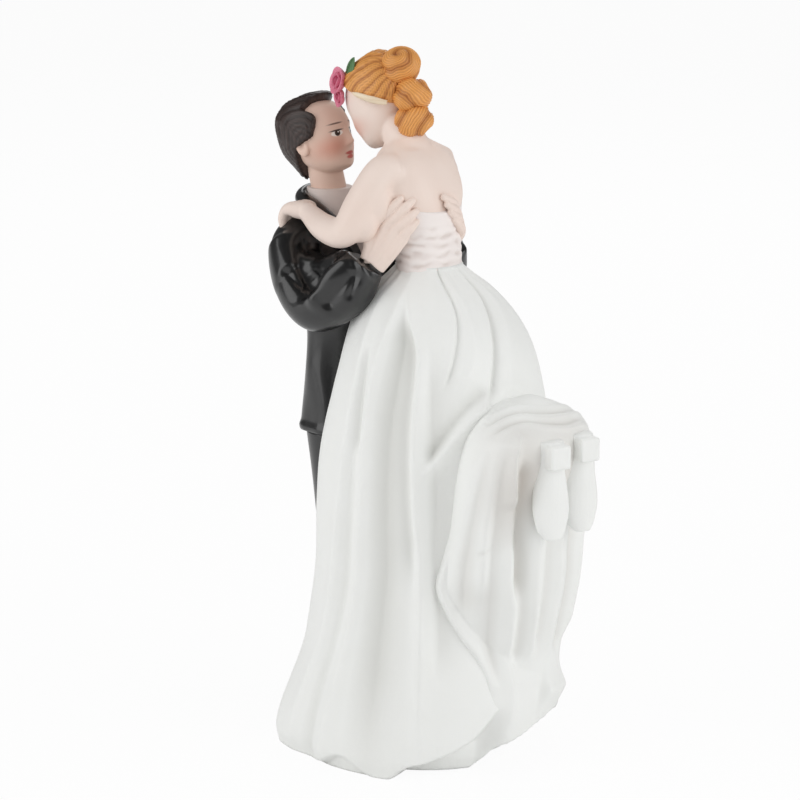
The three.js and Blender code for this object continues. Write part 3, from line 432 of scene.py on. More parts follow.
def shadeBesideShoes(tree, color):
    spots = [((33.5, -11, 61), (6, 4, 9)), ((36, -1, 63), (5, 9, 8))]
    return paintSpots(tree, color, addNode(tree, "TexCoord").outputs["Object"], [
        ([mm * v for v in center], [mm * v for v in size], 0.9, "c0b5ab", 0.4) for center, size in spots])


groomSkin = paintMaterial("groom_skin", {
    "base": "e8cbbb", "second": "dcb3a0", "mottle": 0.5, "roughness": (0.38, 0.52), "bump": 0.08},
    facePaint(groomHeadAt, groomHeadTurn, "3a2419", "d07c63"))
brideSkin = paintMaterial("bride_skin", {
    "base": "f2e2d8", "second": "e8cfc2", "mottle": 0.55, "roughness": (0.38, 0.52), "bump": 0.08},
    facePaint(brideHeadAt, brideHeadTurn, "4d6a74", "d98f78"))
brownHair = paintMaterial("brown_hair", {
    "base": "4a3a36", "second": "32251f", "shadeAndWash": "150d0b", "shadeAndWashAmount": 0.85, "roughness": (0.3, 0.48)})
blondeHair = paintMaterial("blonde_hair", {
    "base": "f4b264", "second": "e0913e", "shadeAndWash": "8f440e", "shadeAndWashAmount": 0.85, "roughness": (0.36, 0.5)})
blackSuit = paintMaterial("black_suit", {
    "base": "0c0c0d", "second": "070708", "patch": 90, "roughness": (0.24, 0.4), "bump": 0.06, "coat": 0.5,
    "ior": 1.6})
gownLook = {"base": "f4f5f3", "second": "ebece8", "shadeAndWash": "c8c8c2", "shadeAndWashAmount": 0.75, "patch": 90,
            "roughness": (0.44, 0.6), "bump": 0.3, "brush": 1.6}
whiteGown = paintMaterial("white_gown", gownLook)
trainWhite = paintMaterial("train_white", {**gownLook, "shadeAndWash": "c6c2bb"}, shadeBesideShoes)
bodiceWhite = paintMaterial("bodice_white", {
    "base": "f6efec", "second": "eee3de", "shadeAndWash": "d3c4bd", "shadeAndWashAmount": 0.75, "patch": 110,
    "roughness": (0.42, 0.58), "bump": 0.14})
shirtPaint = paintMaterial("shirt_paint", {
    "base": "dccfc9", "second": "c8b7b0", "shadeAndWash": "a8938c", "roughness": (0.42, 0.56)})
rosePink = paintMaterial("rose_pink", {
    "base": "e58aa2", "second": "d86f8d", "shadeAndWash": "a8264f", "shadeAndWashAmount": 0.95, "roughness": (0.34, 0.48)})
leafGreen = paintMaterial("leaf_green", {
    "base": "5f8a52", "second": "3f6a43", "shadeAndWash": "27452c", "roughness": (0.36, 0.5)})
ivoryPaint = paintMaterial("ivory", {
    "base": "f3e4cb", "second": "e6d0b0", "shadeAndWash": "c9a980", "roughness": (0.36, 0.5)})
print("paints mixed")


# groom's head and hair
groom = {
    "neck": [(-24.1, 0, 104), (-24.1, 0, 108.4), (-25, -0.65, 114.3), (-25.4, -1, 119)],
    "neckRadii": [3.5, 3.5, 3.5, 3.4],
}
ear = {"at": (-0.4, 5.75, -1.2), "half": (1.45, 0.75, 2.15), "tilt": -12,
       "hollowAt": (-0.3, 6.5, -0.9), "hollowSize": (0.75, 0.6, 1.1), "hollowDepth": 0.75}
place = headPlace(groomHeadAt, *groomHeadTurn)
bm = bmesh.new()
addSkull(bm, place)
for side in (1, -1):
    lobe = addBall(bm, onSide(ear["at"], side), ear["half"], (0, ear["tilt"], 0))
    press(lobe, [(onSide(ear["hollowAt"], side), ear["hollowSize"], (0, -side * ear["hollowDepth"], 0))])
    bmesh.ops.transform(bm, matrix=place, verts=lobe)
addLimb(bm, groom["neck"], groom["neckRadii"], 32, 24)
finishPiece(bm, "groom_head_and_neck", groomSkin, ["groom_head"], voxel=0.17, rounds=3)

groomHairStyle = {
    "strands": 30, "clumps": 9, "parting": 1.0, "depth": 0.26, "low": (-1.5, 0, -2), "high": (2.6, 0, 8),
    "dabs": [((-7.0, 0, -2.6), (3.4, 5.5, 4.0), (-1.0, 0, 0)),
             ((-5.0, 0, -7.0), (3.2, 4.5, 2.4), (-0.7, 0, -2.2)),
             ((2.4, 0, 7.6), (4.5, 4.5, 2.5), (0.5, 0, 0.3))],
}


def behindLine(p, style):  # how far a point of the head lies behind the hairline
    low = Vector(style["low"])
    line = (Vector(style["high"]) - low).normalized()
    return (Vector((p.x, 0, p.z)) - low).dot(Vector((-line.z, 0, line.x)))


def groomHairline(p):
    beforeEar = smoothStep(p.z, -1.3, 0.4) * (1 - smoothStep(p.z, 3.6, 5.8)) * smoothStep(abs(p.y), 3.6, 5.0)
    forelock = exp(-((p.y - 0.4) / 3.0) ** 2) * smoothStep(p.z, 4.6, 6.4)
    nape = 0.9 * (p.z + 7.2 + 0.1 * p.x)
    edge = behindLine(p, groomHairStyle) + 3.2 * beforeEar + 2.2 * forelock
    return min(edge, nape) + 0.15 * noise.noise(0.9 * p)


def groomStrands(p):  # combed round the ears, from the forehead to the nape
    q = Vector((p.x - 0.6, p.y + groomHairStyle["parting"], p.z + 1.0))
    ring = acos(min(abs(q.y) / q.length, 1)) / (0.5 * pi)
    warp = 0.03 * noise.noise(0.3 * p) + 0.008 * noise.noise(1.1 * p)
    fine = strandGroove(groomHairStyle["strands"] * (ring + warp), 1.6)
    return 0.55 * fine + 0.45 * strandGroove(groomHairStyle["clumps"] * (ring + 2 * warp), 4)


bm = bmesh.new()
addHair(bm, place, groomHairline, groomStrands, groomHairStyle)
finishPiece(bm, "groom_combed_hair", brownHair, ["groom_hair"])


# bride's skin: head, neck, bare back, arms and hands are one casting to the eye
bride = {
    "waist": (2.4, 0, 98.0),
    "torso": [  # forward and rise from the waist, half depth, half width
        (0, 0, 5.2, 6.5), (-0.6, 5, 5.3, 6.9), (-1.9, 10, 6.1, 8.1), (-3.0, 14.5, 7.1, 8.9),
        (-3.9, 18, 6.8, 8.8), (-4.8, 21, 5.9, 8.2), (-5.4, 23, 4.6, 5.6)],
    "armRadii": [3.4, 3.5, 3.4, 3.05, 2.8, 2.2, 2.0],
    "leftArm": [(0, -6.5, 117.2), (-1.6, -9.4, 116.6), (-3.4, -13.4, 110.8), (-5.2, -16.2, 105.6),
                (-11, -15.4, 105.6), (-17.2, -12.8, 107.0), (-20, -11.4, 107.7)],
    "rightArm": [(0, 5.6, 116.2), (-1.6, 8.0, 114.8), (-5, 11.8, 110.4), (-8, 13.8, 106.2),
                 (-13, 14, 106.4), (-17.8, 12.4, 107.4), (-20.4, 11.0, 107.9)],
    "armpits": [((-1.7, -10.4, 111.2), (3.2, 3.4, 5.0)), ((-3.2, -13.2, 107.4), (3.4, 3.0, 4.2))],
    "neck": [(-1.5, 0, 115), (-2.4, 0, 119.6), (-6.0, 0, 124.4), (-9.4, 0, 128)],
    "neckRadii": [4.6, 4.3, 3.7, 3.2],
    "shoulder": [(-3.4, 0, 120.4), (-2.2, 4.6, 118.4), (-1.2, 8.6, 116.6)], "shoulderRadii": [3.8, 3.4, 3.3],
    "backFill": 0.9,  # squares the oval of the back
    "fingers": {"knuckle": (-2.6, 0, 0.2), "tip": (-4.8, 0, -3.8), "pitch": 1.3, "bow": (-0.8, 0, 0.8)},
}
torsoSections = [(bride["waist"][0] + f, 0, bride["waist"][2] + r, d, w) for f, r, d, w in bride["torso"]]


handTaper = (1.9, 1.75, 1.4, 1.05, 1, 0.7)  # shares of a finger's radius, from the wrist to the tip
thumbTaper = (1.8, 1.35, 0.85)


def addHand(bm, wrist, knuckles, tips, bow, radius):
    # four rays fan out of the wrist; bow lifts the middle of each finger off the straight line
    wrist, middle = Vector(wrist), sum((Vector(k) for k in knuckles), Vector()) / len(knuckles)
    sizes = [share * radius for share in handTaper]
    for knuckle, tip in zip(knuckles, tips):
        knuckle, tip = Vector(knuckle), Vector(tip)
        root = wrist + 0.35 * (knuckle - middle)
        fingers = [knuckle.lerp(tip, t) + sin(pi * t) * Vector(bow) for t in (0.33, 0.7, 1)]
        addLimb(bm, [root, root.lerp(knuckle, 0.55), knuckle] + fingers, sizes, 16, 30)
        addBall(bm, tip, [sizes[-1]] * 3, detail=3)


bm = bmesh.new()
addLoft(bm, torsoSections, 64, 60, lambda turn, z: (
    bride["backFill"] * sin(2 * turn) ** 2 * smoothStep(cos(turn), -0.2, 0.3) * smoothStep(z, 106, 111), 0))
addLimb(bm, bride["neck"], bride["neckRadii"], 32, 24)
for arm, side in (("leftArm", -1), ("rightArm", 1)):
    addLimb(bm, bride[arm], bride["armRadii"], 28, 60)
    addLimb(bm, [onSide(p, side) for p in bride["shoulder"]], bride["shoulderRadii"], 28, 20)
for at, half in bride["armpits"]:  # fill the back out to the left arm
    addBall(bm, at, half)
melt(bm, 0.3, 40)
addSkull(bm, headPlace(brideHeadAt, *brideHeadTurn))
for arm in ("leftArm", "rightArm"):
    wrist, fingers = Vector(bride[arm][-1]), bride["fingers"]
    fan = [Vector((0, fingers["pitch"] * n, 0)) for n in (-1.5, -0.5, 0.5, 1.5)]
    addHand(bm, wrist, [wrist + Vector(fingers["knuckle"]) + f for f in fan],
            [wrist + Vector(fingers["tip"]) + 0.9 * f for f in fan], fingers["bow"], 1.0)
finishPiece(bm, "bride_bare_skin", brideSkin,
            ["bride_head", "bride_torso", "bride_left_arm", "bride_right_arm"], voxel=0.22, rounds=4)


# bride's hair: strands run back to the upper roll, with three rolled curls behind
place = headPlace(brideHeadAt, *brideHeadTurn)
brideHairStyle = {
    "strands": 72, "clumps": 19, "gather": Vector((-0.88, 0, 0.47)), "depth": 0.34,
    "low": (-5.6, 0, -2.2), "high": (4.6, 0, 6.2),
    "dabs": [((-3.5, 0, 9.0), (4.2, 4.8, 3.2), (-0.2, 0, 1.3)),
             ((3.4, 0, 7.4), (2.4, 4.8, 2.4), (0.3, 0, 0.5))],
}


def brideHairline(p):
    nape = 0.9 * (p.z + 5.0 + 0.35 * p.x)
    return min(behindLine(p, brideHairStyle), nape) + 0.2 * noise.noise(0.8 * p)


def brideStrands(p):
    side = Vector((0, 1, 0))
    over = brideHairStyle["gather"].cross(side)
    turn = atan2(p.dot(side), p.dot(over)) / (2 * pi)
    warp = 0.009 * noise.noise(0.35 * p) + 0.002 * noise.noise(1.2 * p)
    fine = strandGroove(brideHairStyle["strands"] * (turn + warp), 3.2)
    return min(1, 0.6 * fine + 0.6 * strandGroove(brideHairStyle["clumps"] * (turn + 1.4 * warp), 9))


bm = bmesh.new()
addHair(bm, place, brideHairline, brideStrands, brideHairStyle)
finishPiece(bm, "bride_swept_hair", blondeHair, ["bride_hair"])

curls = {  # middle and half sizes on the head, and where the eye of the roll looks in the frame
    "upper": {"at": (-8.2, 0, 4.4), "half": (4.0, 4.0, 3.8), "eye": (0.23, -0.57, 0.78), "turns": 2.6},
    "middle": {"at": (-8.5, 0.2, -2.0), "half": (3.8, 4.0, 3.5), "eye": (0.52, 0.62, 0.49), "turns": 2.2},
    "lower": {"at": (-6.6, 0.2, -6.5), "half": (3.8, 4.0, 3.5), "eye": (0.61, 0.37, -0.58), "turns": 2.4},
}
curlGrooves = {"lock": 0.11, "strand": 0.04, "dimple": 0.16, "strandsPerLock": 9}
headTurnBack = place.to_3x3().inverted()
for name, curl in curls.items():
    bm = bmesh.new()
    crease = creaseLayer(bm)
    verts = bmesh.ops.create_icosphere(bm, subdivisions=6, radius=1)["verts"]
    eye = (headTurnBack @ Vector(curl["eye"])).normalized()
    side = eye.orthogonal().normalized()
    over = eye.cross(side)
    half = Vector(curl["half"])
    for v in verts:
        way = v.co.normalized()
        fromEye = acos(min(max(way.dot(eye), -1), 1)) / pi
        turn = atan2(way.dot(over), way.dot(side)) / (2 * pi)
        warp = 0.035 * noise.noise(1.8 * way + Vector(curl["at"]))
        lock = strandGroove(curl["turns"] * (fromEye + warp) + turn, 8)
        strand = strandGroove(curlGrooves["strandsPerLock"] * (curl["turns"] * (fromEye + 1.2 * warp) + turn))
        dimple = exp(-(fromEye / 0.09) ** 2)
        grooves = curlGrooves["lock"] * lock + curlGrooves["strand"] * strand + curlGrooves["dimple"] * dimple
        v.co = Vector(curl["at"]) + (1.02 - grooves) * Vector([w * h for w, h in zip(way, half)])
        # dark paint wash and painted shade in the grooves and in the eye of the roll
        v[crease] = min(1, 0.55 * lock + 0.42 * strand + 0.4 * dimple)
    bmesh.ops.transform(bm, matrix=place, verts=verts)
    finishPiece(bm, "bride_rolled_curl_" + name, blondeHair, ["bride_curl_" + name])


# rose of cupped petals, its leaf and the ribbon
rose = {"blooms": [((3.7, 4.5, 6.7), (0.25, 0.89, 0.38), 3.3), ((4.9, 4.6, 4.0), (0.42, 0.89, 0.18), 2.5)],
        "rings": [(5, 1.0, 0.2), (4, 0.72, 0.55), (3, 0.42, 0.9)],  # petals, reach, how upright
        "petal": {"half": (0.62, 0.5, 0.16), "out": 0.42, "cup": 0.231}, "tilt": 1.15, "core": 0.34}
(wide, long, thick), out = rose["petal"]["half"], rose["petal"]["out"]
bm = bmesh.new()
crease = creaseLayer(bm)
for at, facing, size in rose["blooms"]:
    stand = Vector(facing).to_track_quat("Z", "Y").to_matrix().to_4x4()
    for ring, (count, reach, upright) in enumerate(rose["rings"]):
        for n in range(count):
            petal = bmesh.ops.create_uvsphere(bm, u_segments=20, v_segments=12, radius=1)["verts"]
            for v in petal:
                x, y, z = v.co
                cup = rose["petal"]["cup"] * (x * x + y * y)
                v.co = Vector((wide * y, long * x + out, thick * z + cup))
                # petal bases and inner rings darker: painted shade deeper in the bloom
                v[crease] = 0.9 * (1 - smoothStep(0.5 * (x + y) + out, -0.1, 0.62)) + 0.125 * ring
            tilt = Matrix.Rotation(upright * rose["tilt"], 4, "X")
            spin = Matrix.Rotation(2 * pi * (n + 0.5 * ring) / count, 4, "Z")
            whole = Matrix.Translation(at) @ stand @ spin @ Matrix.Scale(size * reach, 4) @ tilt
            bmesh.ops.transform(bm, matrix=whole, verts=petal)
    core = addBall(bm, Vector(at) + 0.25 * size * Vector(facing), [rose["core"] * size] * 3, detail=3)
    # the core is painted fully in shade
    for v in core:
        v[crease] = 1
bmesh.ops.transform(bm, matrix=place, verts=bm.verts)
finishPiece(bm, "bride_rose_petals", rosePink, ["bride_rose"], levels=1)

leaf = {"at": (0.4, 4.9, 8.0), "along": (0.75, 0.05, -0.66), "facing": (0.1, 0.86, 0.5),
        "half": (2.6, 1.7, 0.3), "veins": 0.4, "droop": (0.35, 0.3)}
halfLong, halfWide, halfThick = leaf["half"]
bm = bmesh.new()
crease = creaseLayer(bm)
blade = bmesh.ops.create_uvsphere(bm, u_segments=48, v_segments=24, radius=1)["verts"]
for v in blade:
    x, y, z = v.co
    vein = exp(-(y / 0.1) ** 2) + 0.5 * abs(sin(9 * (x - abs(y)))) ** 6
    # sunk veins, darkened by paint wash and painted shade
    v[crease] = min(1, vein * smoothStep(z, -0.2, 0.3))
    width = max(0, 1 - abs(x) ** 2.2) ** 0.35
    rise = halfThick * (z - leaf["veins"] * v[crease]) - leaf["droop"][0] * x * x - leaf["droop"][1] * y * y
    v.co = Vector((halfLong * x, halfWide * y * width, rise))
along = Vector(leaf["along"]).normalized()
across = Vector(leaf["facing"]).cross(along).normalized()
spin = Matrix((along, across, along.cross(across))).transposed().to_4x4()
bmesh.ops.transform(bm, matrix=place @ Matrix.Translation(leaf["at"]) @ spin, verts=blade)
finishPiece(bm, "bride_leaf", leafGreen, ["bride_rose_leaf"], levels=1)

ribbon = {"path": [(0.4, 6.5, 3.1), (-0.9, 6.8, 2.1), (-3, 6.6, 0.4), (-4.6, 5.9, -0.9), (-5.9, 5.0, -1.9)],
          "widths": [0.1, 0.5, 0.62, 0.6, 0.4]}
bm = bmesh.new()
# darker bands along the satin ribbon: painted sheen
addLimb(bm, ribbon["path"], ribbon["widths"], 24, 40,
        lambda turn, t, out: (0.05 * cos(4 * turn), 0.5 * strandGroove(2 * turn / pi, 6)))
bmesh.ops.transform(bm, matrix=place, verts=bm.verts)
finishPiece(bm, "bride_ribbon", ivoryPaint, ["bride_hair_ribbon"])


# gown: its folds are strokes drawn on the cloth
# a stroke has a depth, a soft width on either side and a line of (degrees, height)
skirt = {
    "waistZ": 98.0, "topZ": 98.4, "columns": 360, "rows": 236,
    "radius": [(0, 26.5), (0.04, 27.3), (0.14, 26.3), (0.255, 24.5), (0.39, 23), (0.51, 23.2), (0.63, 23),
               (0.715, 22.3), (0.785, 21), (0.845, 19.2), (0.9, 16.4), (0.95, 12.4), (0.98, 8.8), (1, 6.6)],
    "axis": [(0, 2), (0.2, 2), (0.4, 2.5), (0.6, 3.5), (0.82, 4), (0.92, 3.5), (1, 2.4)],
    "hem": [(-180, 0), (-112, 0), (-99, 1.2), (-88, 3.6), (-76, 0.6), (-66, 0), (-53, 3), (-29, 8), (-16, 13),
            (2, 17), (30, 14), (56, 4), (72, 0), (180, 0)],  # height of the outer hem by angle
    "strokes": [
        (1.1, 2.4, 2.0, [(-103, 97), (-95, 84), (-97, 64), (-102, 41), (-106, 25), (-120, 8), (-124, -8)]),
        (-1.0, 2.0, 2.2, [(-89, 92), (-91, 66), (-93, 44), (-97, 28), (-108, 8), (-112, -8)]),
        (-0.7, 0.8, 0.8, [(-91, 85), (-90, 75), (-90, 63)]),
        (1.5, 2.4, 2.2, [(-76, 97), (-80, 89), (-84, 79), (-85, 66), (-85, 44), (-88, 28), (-96, 7),
                         (-100, -10)]),
        (-1.7, 4.2, 3.6, [(-74, 95), (-71, 88), (-69, 84), (-72, 71), (-72.5, 56), (-71, 43), (-72, 31),
                          (-73, 17), (-76, -10)]),
        (1.4, 1.1, 1.7, [(-72, 96), (-66, 90), (-58.2, 84.5), (-58.2, 78), (-59, 71.6), (-57.4, 56),
                         (-53.4, 44), (-52.3, 32), (-52, 19), (-51, -8)]),
        (-0.9, 1.2, 3.6, [(-52, 88), (-50, 72), (-47, 56), (-46.5, 44), (-43, 32), (-44, 18)]),
        (-1.0, 1.8, 0.8, [(-70, 92), (-63, 86), (-61, 80), (-62, 72), (-61, 60), (-58, 48), (-56, 36)]),
        (-0.8, 0.45, 0.9, [(-36, 99), (-33, 96), (-30, 91), (-37, 83), (-45, 76)]),
        (0.5, 1.6, 1.8, [(-24, 98), (-21, 91), (-27, 83), (-33, 78)]),
        (-1.1, 0.45, 1.0, [(10, 99), (3, 93), (-6, 87), (-14, 80), (-20, 73)]),
        (0.7, 1.8, 2.6, [(18, 98), (12, 91), (4, 86), (-4, 80), (-8, 75)]),
        (-1.1, 1.6, 0.9, [(-18, 77), (-31, 74), (-42, 69), (-55, 62)]),
        (1.5, 0.8, 1.8, [(-19, 75), (-32, 71.5), (-42, 67), (-55, 60)]),
    ],
    "farSide": {"strokes": 7, "shift": 6},  # the hidden side is folded much like the seen one
    "gathers": {"depth": 0.1, "count": 19, "wander": 2.2, "fromZ": (84, 96)},
    # below the outer hem the underskirt stands back and, where it shows, off the ground
    "underCut": 1.0, "backCut": 8.0, "backFrom": (-25, 0), "backTo": (54, 76),
    "frontCut": 5.5, "frontFrom": (-66, -54), "hemLift": 1.4,
    # the hollow beside the groom's legs, and the corners of the hem on either side of it
    "groomSpread": [(0, 24), (0.57, 24), (0.63, 27), (0.69, 32), (0.755, 36), (1, 37)],
    "hollow": {"depth": 10, "below": (6, 20)}, "corner": {"turn": 42, "half": 14, "flare": 4, "height": 24},
}
skirtRadius, skirtAxis, hemHeight, groomSpread = (
    curveThrough(skirt[key]) for key in ("radius", "axis", "hem", "groomSpread"))


def drawFolds(turn, z, strokes, reach=22.0):  # reach turns degrees into millimetres
    at = np.stack([np.radians(turn) * reach, z], axis=-1)
    lift = np.zeros_like(z)
    for depth, west, east, line in strokes:
        near, side, along = nearLine(at, [(radians(d) * reach, h) for d, h in line], 5)
        width = np.where(side > 0, east, west)
        fading = smoothStep(along, 0, 0.16) * (1 - smoothStep(along, 0.84, 1))
        lift += depth * fading * np.exp(-(near / width) ** 1.4)
    return lift


def rows(curve, z, scale=1.0):
    return np.array([[curve(level * scale)] for level in z[:, 0]])


def skirtReach(turn, z):
    hollow, corner = skirt["hollow"], skirt["corner"]
    fromGroom = (turn + 360) % 360 - 180
    spread = rows(groomSpread, z, 1 / skirt["waistZ"])
    sunk = hollow["depth"] * np.exp(-(fromGroom / spread) ** 2)
    sunk = sunk * smoothStep(skirt["waistZ"] - z, *hollow["below"])
    flare = corner["flare"] * np.exp(-((abs(fromGroom) - corner["turn"]) / corner["half"]) ** 2)
    return rows(skirtRadius, z, 1 / skirt["waistZ"]) - sunk + flare * (1 - smoothStep(z, 0, corner["height"]))


def foldShade(folds, gain, most):
    return most * np.clip(-gain * folds, 0, 1)


def farSide(strokes, shift):
    return [(depth, east, west, [(-d + shift, h) for d, h in line]) for depth, west, east, line in strokes]


def bendSheet(bm, turn, z, reach, shade):
    # a grid rolled round the gown's leaning axis
    crease = creaseLayer(bm)
    last = (len(z) - 1, len(turn[0]) - 1)
    sheet = bmesh.ops.create_grid(bm, x_segments=last[1], y_segments=last[0], size=1)["verts"]
    for v in sheet:
        row, column = round(0.5 * (v.co.y + 1) * last[0]), round(0.5 * (v.co.x + 1) * last[1])
        angle, radius, level = radians(turn[row, column]), reach[row, column], z[row, column]
        v.co = Vector((skirtAxis(level / skirt["waistZ"]) + radius * cos(angle), radius * sin(angle), level))
        v[crease] = shade[row, column]
    bmesh.ops.remove_doubles(bm, verts=sheet, dist=1e-4)
    bmesh.ops.holes_fill(bm, edges=[e for e in bm.edges if e.is_boundary])


turn, z = np.meshgrid(np.linspace(-180, 180, skirt["columns"] + 1),
                      np.linspace(0, skirt["topZ"], skirt["rows"] + 1))
unseen, gather = skirt["farSide"], skirt["gathers"]
folds = drawFolds(turn, z, skirt["strokes"] + farSide(skirt["strokes"][:unseen["strokes"]], unseen["shift"]))
around = np.radians(turn)
pleats = np.sin(gather["count"] * around + gather["wander"] * np.sin(3 * around))
gathered = gather["depth"] * pleats * smoothStep(z, *gather["fromZ"])
hem = np.array([[hemHeight(d) for d in turn[0]]])
under = 1 - smoothStep(z, hem - 0.7, hem)
fromBack, toBack = smoothStep(turn, *skirt["backFrom"]), 1 - smoothStep(turn, *skirt["backTo"])
atFront = smoothStep(turn, *skirt["frontFrom"])
standBack = (skirt["underCut"] + skirt["backCut"] * fromBack * toBack
             + skirt["frontCut"] * atFront * (1 - fromBack))
reach = skirtReach(turn, z) + folds * (1 - 0.75 * under) + gathered - standBack * under
lifted = z + skirt["hemLift"] * atFront * toBack * (1 - smoothStep(z, 0, 5))
bm = bmesh.new()
# painted shade in the fold hollows, and a little painted shade below the outer hem
bendSheet(bm, turn, lifted, reach, foldShade(folds, 0.5, 0.9) + 0.12 * under)
finishPiece(bm, "gown_skirt", whiteGown, ["bride_skirt"])


# train over the calves: it hangs from the raised legs, with a curling edge on the left and a rolled hem
train = {
    "hemZ": 0.6, "topZ": 75.4, "columns": 340, "rows": 240, "tuck": 5.0, "rimProud": 0.9,
    "dive": 10, "diveTurn": (70, 110),  # the far side goes down inside the skirt
    "seenShare": 0.82, "seenTurn": 78,  # most columns lie where the train shows
    "wallZ": (36, 58),  # the left side is a thin sheet below and a wall above
    "footZ": (5.5, 14.5), "footTurn": 15,  # near the ground the sheet runs out into the underskirt
    "reach": [(0, 27.2), (0.086, 27.8), (0.15, 28.2), (0.232, 28.6), (0.369, 31), (0.506, 33.8), (0.634, 35),
              (0.744, 36.4), (0.826, 38), (0.89, 38.4), (0.936, 37), (0.966, 33.5), (0.986, 29), (1, 22)],
    "left": [(0, -25), (0.086, -23), (0.203, -21.8), (0.257, -23), (0.313, -27.4), (0.369, -34.3),
             (0.437, -41.3), (0.504, -46.3), (0.58, -43.5), (0.666, -40.3), (0.8, -37.8), (0.9, -34),
             (0.94, -29.5), (0.97, -23), (1, -8)],
    "right": [(0, 70), (0.126, 69), (0.19, 67), (0.26, 63.8), (0.326, 59.8), (0.393, 55), (0.46, 50.8),
              (0.527, 46.8), (0.594, 44), (0.66, 42.6), (0.727, 41.6), (0.794, 40), (0.86, 36.5), (0.93, 31),
              (0.97, 23), (1, 8)],
    "hem": [(-25, 0.6), (-20, 2.5), (-14.6, 4.9), (-6.4, 6), (0, 6.7), (13, 8.2), (31, 8.5), (50, 5),
            (70, 0.6)],
    "strokes": [
        (1.3, 0.7, 1.1, [(-29, 71), (-31, 68.3), (-34.8, 60.6), (-38, 50.6), (-42, 43.4), (-44.4, 38.4),
                         (-40, 33.3), (-33, 28.2), (-26.6, 24.2), (-22.8, 20.2), (-21.4, 16), (-21.2, 8)]),
        (-1.3, 1.5, 2.2, [(-27.5, 70), (-30, 66), (-31.5, 59), (-33, 49), (-33.5, 40), (-31.5, 31)]),
        (1.3, 1.6, 1.8, [(-21.8, 72.2), (-27.1, 68.1), (-28.7, 61.4), (-29.2, 53.3), (-29, 45.5),
                         (-27.5, 36)]),
        (-1.1, 1.6, 1.8, [(-21.6, 70.3), (-25.3, 63.7), (-25.8, 53.6), (-25, 41.6), (-20, 27), (-14, 15)]),
        (1.8, 1.4, 0.8, [(-18.7, 72.3), (-22, 67.6), (-21.9, 61.8), (-19.8, 55.3)]),
        (-1.8, 1.0, 1.5, [(-19.2, 67), (-18.2, 61), (-17.4, 56), (-16.6, 50), (-15.6, 43), (-13.8, 35)]),
        (1.2, 2.4, 1.6, [(-18.7, 50.5), (-17.6, 41.4), (-12.8, 27.9), (-10.5, 18), (-10, 8)]),
        (-1.2, 2.0, 2.6, [(-14.8, 54), (-13.6, 41), (-10.4, 33), (-8, 27), (-6, 21)]),
        (1.1, 1.8, 1.8, [(-8, 54), (-7.2, 40), (-2.6, 29), (0, 21)]),
        (-1.0, 1.6, 1.8, [(-3, 54), (-2, 44), (-0.7, 35.5), (5, 20)]),
        (0.9, 1.8, 1.8, [(2.5, 54), (3.1, 46.5), (6.1, 34.6), (10.8, 20)]),
        (-1.4, 2.0, 2.2, [(12, 58), (14, 44), (19, 30), (22, 20)]),
        (1.4, 2.2, 2.0, [(20, 66), (22, 50), (26, 36), (30, 22)]),
        (-1.4, 2.0, 2.4, [(28, 70), (31, 54), (35, 38), (38, 24)]),
        (1.2, 2.4, 1.2, [(34, 70), (38, 54), (41, 40), (46, 26), (48, 12)]),
        (2.1, 3.6, 3.6, [(9, 15), (16, 14.2), (26, 13.2), (38, 12.2), (50, 11)]),
    ],
    "marks": [  # ridges and grooves draped over the calves, and one crease of the panel
        (0.55, 0.7, [(25.2, -12.2, 70.2), (26.7, -9.9, 72.6), (28.6, -5.7, 74.1), (31.3, -0.5, 73.8),
                     (32.2, 4, 73.3), (31.4, 7.9, 73), (29.6, 11.8, 71.6)]),
        (-0.45, 0.6, [(26.8, -12.9, 70), (28.3, -10.6, 72.3), (30.2, -6.4, 73.7), (32.8, -1.6, 73.3),
                      (33.6, 3.1, 72.7), (32.9, 7.3, 72.5), (31.6, 11.3, 71.5)]),
        (0.55, 0.7, [(28.4, -13.6, 69.8), (29.9, -11.3, 72), (31.8, -7.1, 73.3), (34.3, -2.7, 72.7),
                     (34.9, 2.2, 72), (34.3, 6.5, 71.9), (33.1, 10.7, 71.2), (31.3, 14.7, 69.5)]),
        (-0.45, 0.6, [(30, -13.9, 69.7), (31.3, -11.7, 71.7), (33, -7.6, 72.8), (35.2, -3.8, 72.2),
                      (36.3, 1.1, 71.1), (35.8, 5.7, 71.1), (34.7, 10.1, 70.5)]),
        (0.5, 0.6, [(31.6, -14.1, 69.6), (32.7, -12, 71.4), (34.1, -8.1, 72.3), (36.2, -4.9, 71.6),
                    (37.3, 0, 70.3), (37, 4.7, 70.3), (36, 9.3, 69.8)]),
        (-0.3, 0.5, [(23.1, -18.1, 41.7), (27.4, -16.3, 45.3), (30.8, -13, 48.5)]),
    ],
}
trainReach, trainLeft, trainRight, trainHem = (
    curveThrough(train[key]) for key in ("reach", "left", "right", "hem"))
seen, seenTurn = int(train["seenShare"] * train["columns"]), train["seenTurn"]
hidden = (train["columns"] - seen) // 2
columns = np.concatenate([
    np.linspace(-180, -seenTurn, hidden, endpoint=False),
    np.linspace(-seenTurn, seenTurn, seen, endpoint=False), np.linspace(seenTurn, 180, hidden + 1)])
rising = 1 - np.linspace(1, 0, train["rows"] + 1) ** 1.6  # closer rows over the flat top
tall = train["topZ"] - train["hemZ"]
turn, z = np.meshgrid(columns, train["hemZ"] + tall * rising)
height = (z - train["hemZ"]) / tall
left, right = rows(trainLeft, height), rows(trainRight, height)
fromMiddle = turn - 0.5 * (left + right)
share = np.minimum(abs(fromMiddle) / (0.5 * (right - left)), 1)
hem = np.array([[trainHem(d) for d in turn[0]]])
above = smoothStep(z, hem - 1.8, hem + 0.2)
sink = train["tuck"] * (2.2 - 1.2 * above) + train["dive"] * smoothStep(abs(turn), *train["diveTurn"])
inside = rows(skirtRadius, z, 1 / skirt["waistZ"]) - sink
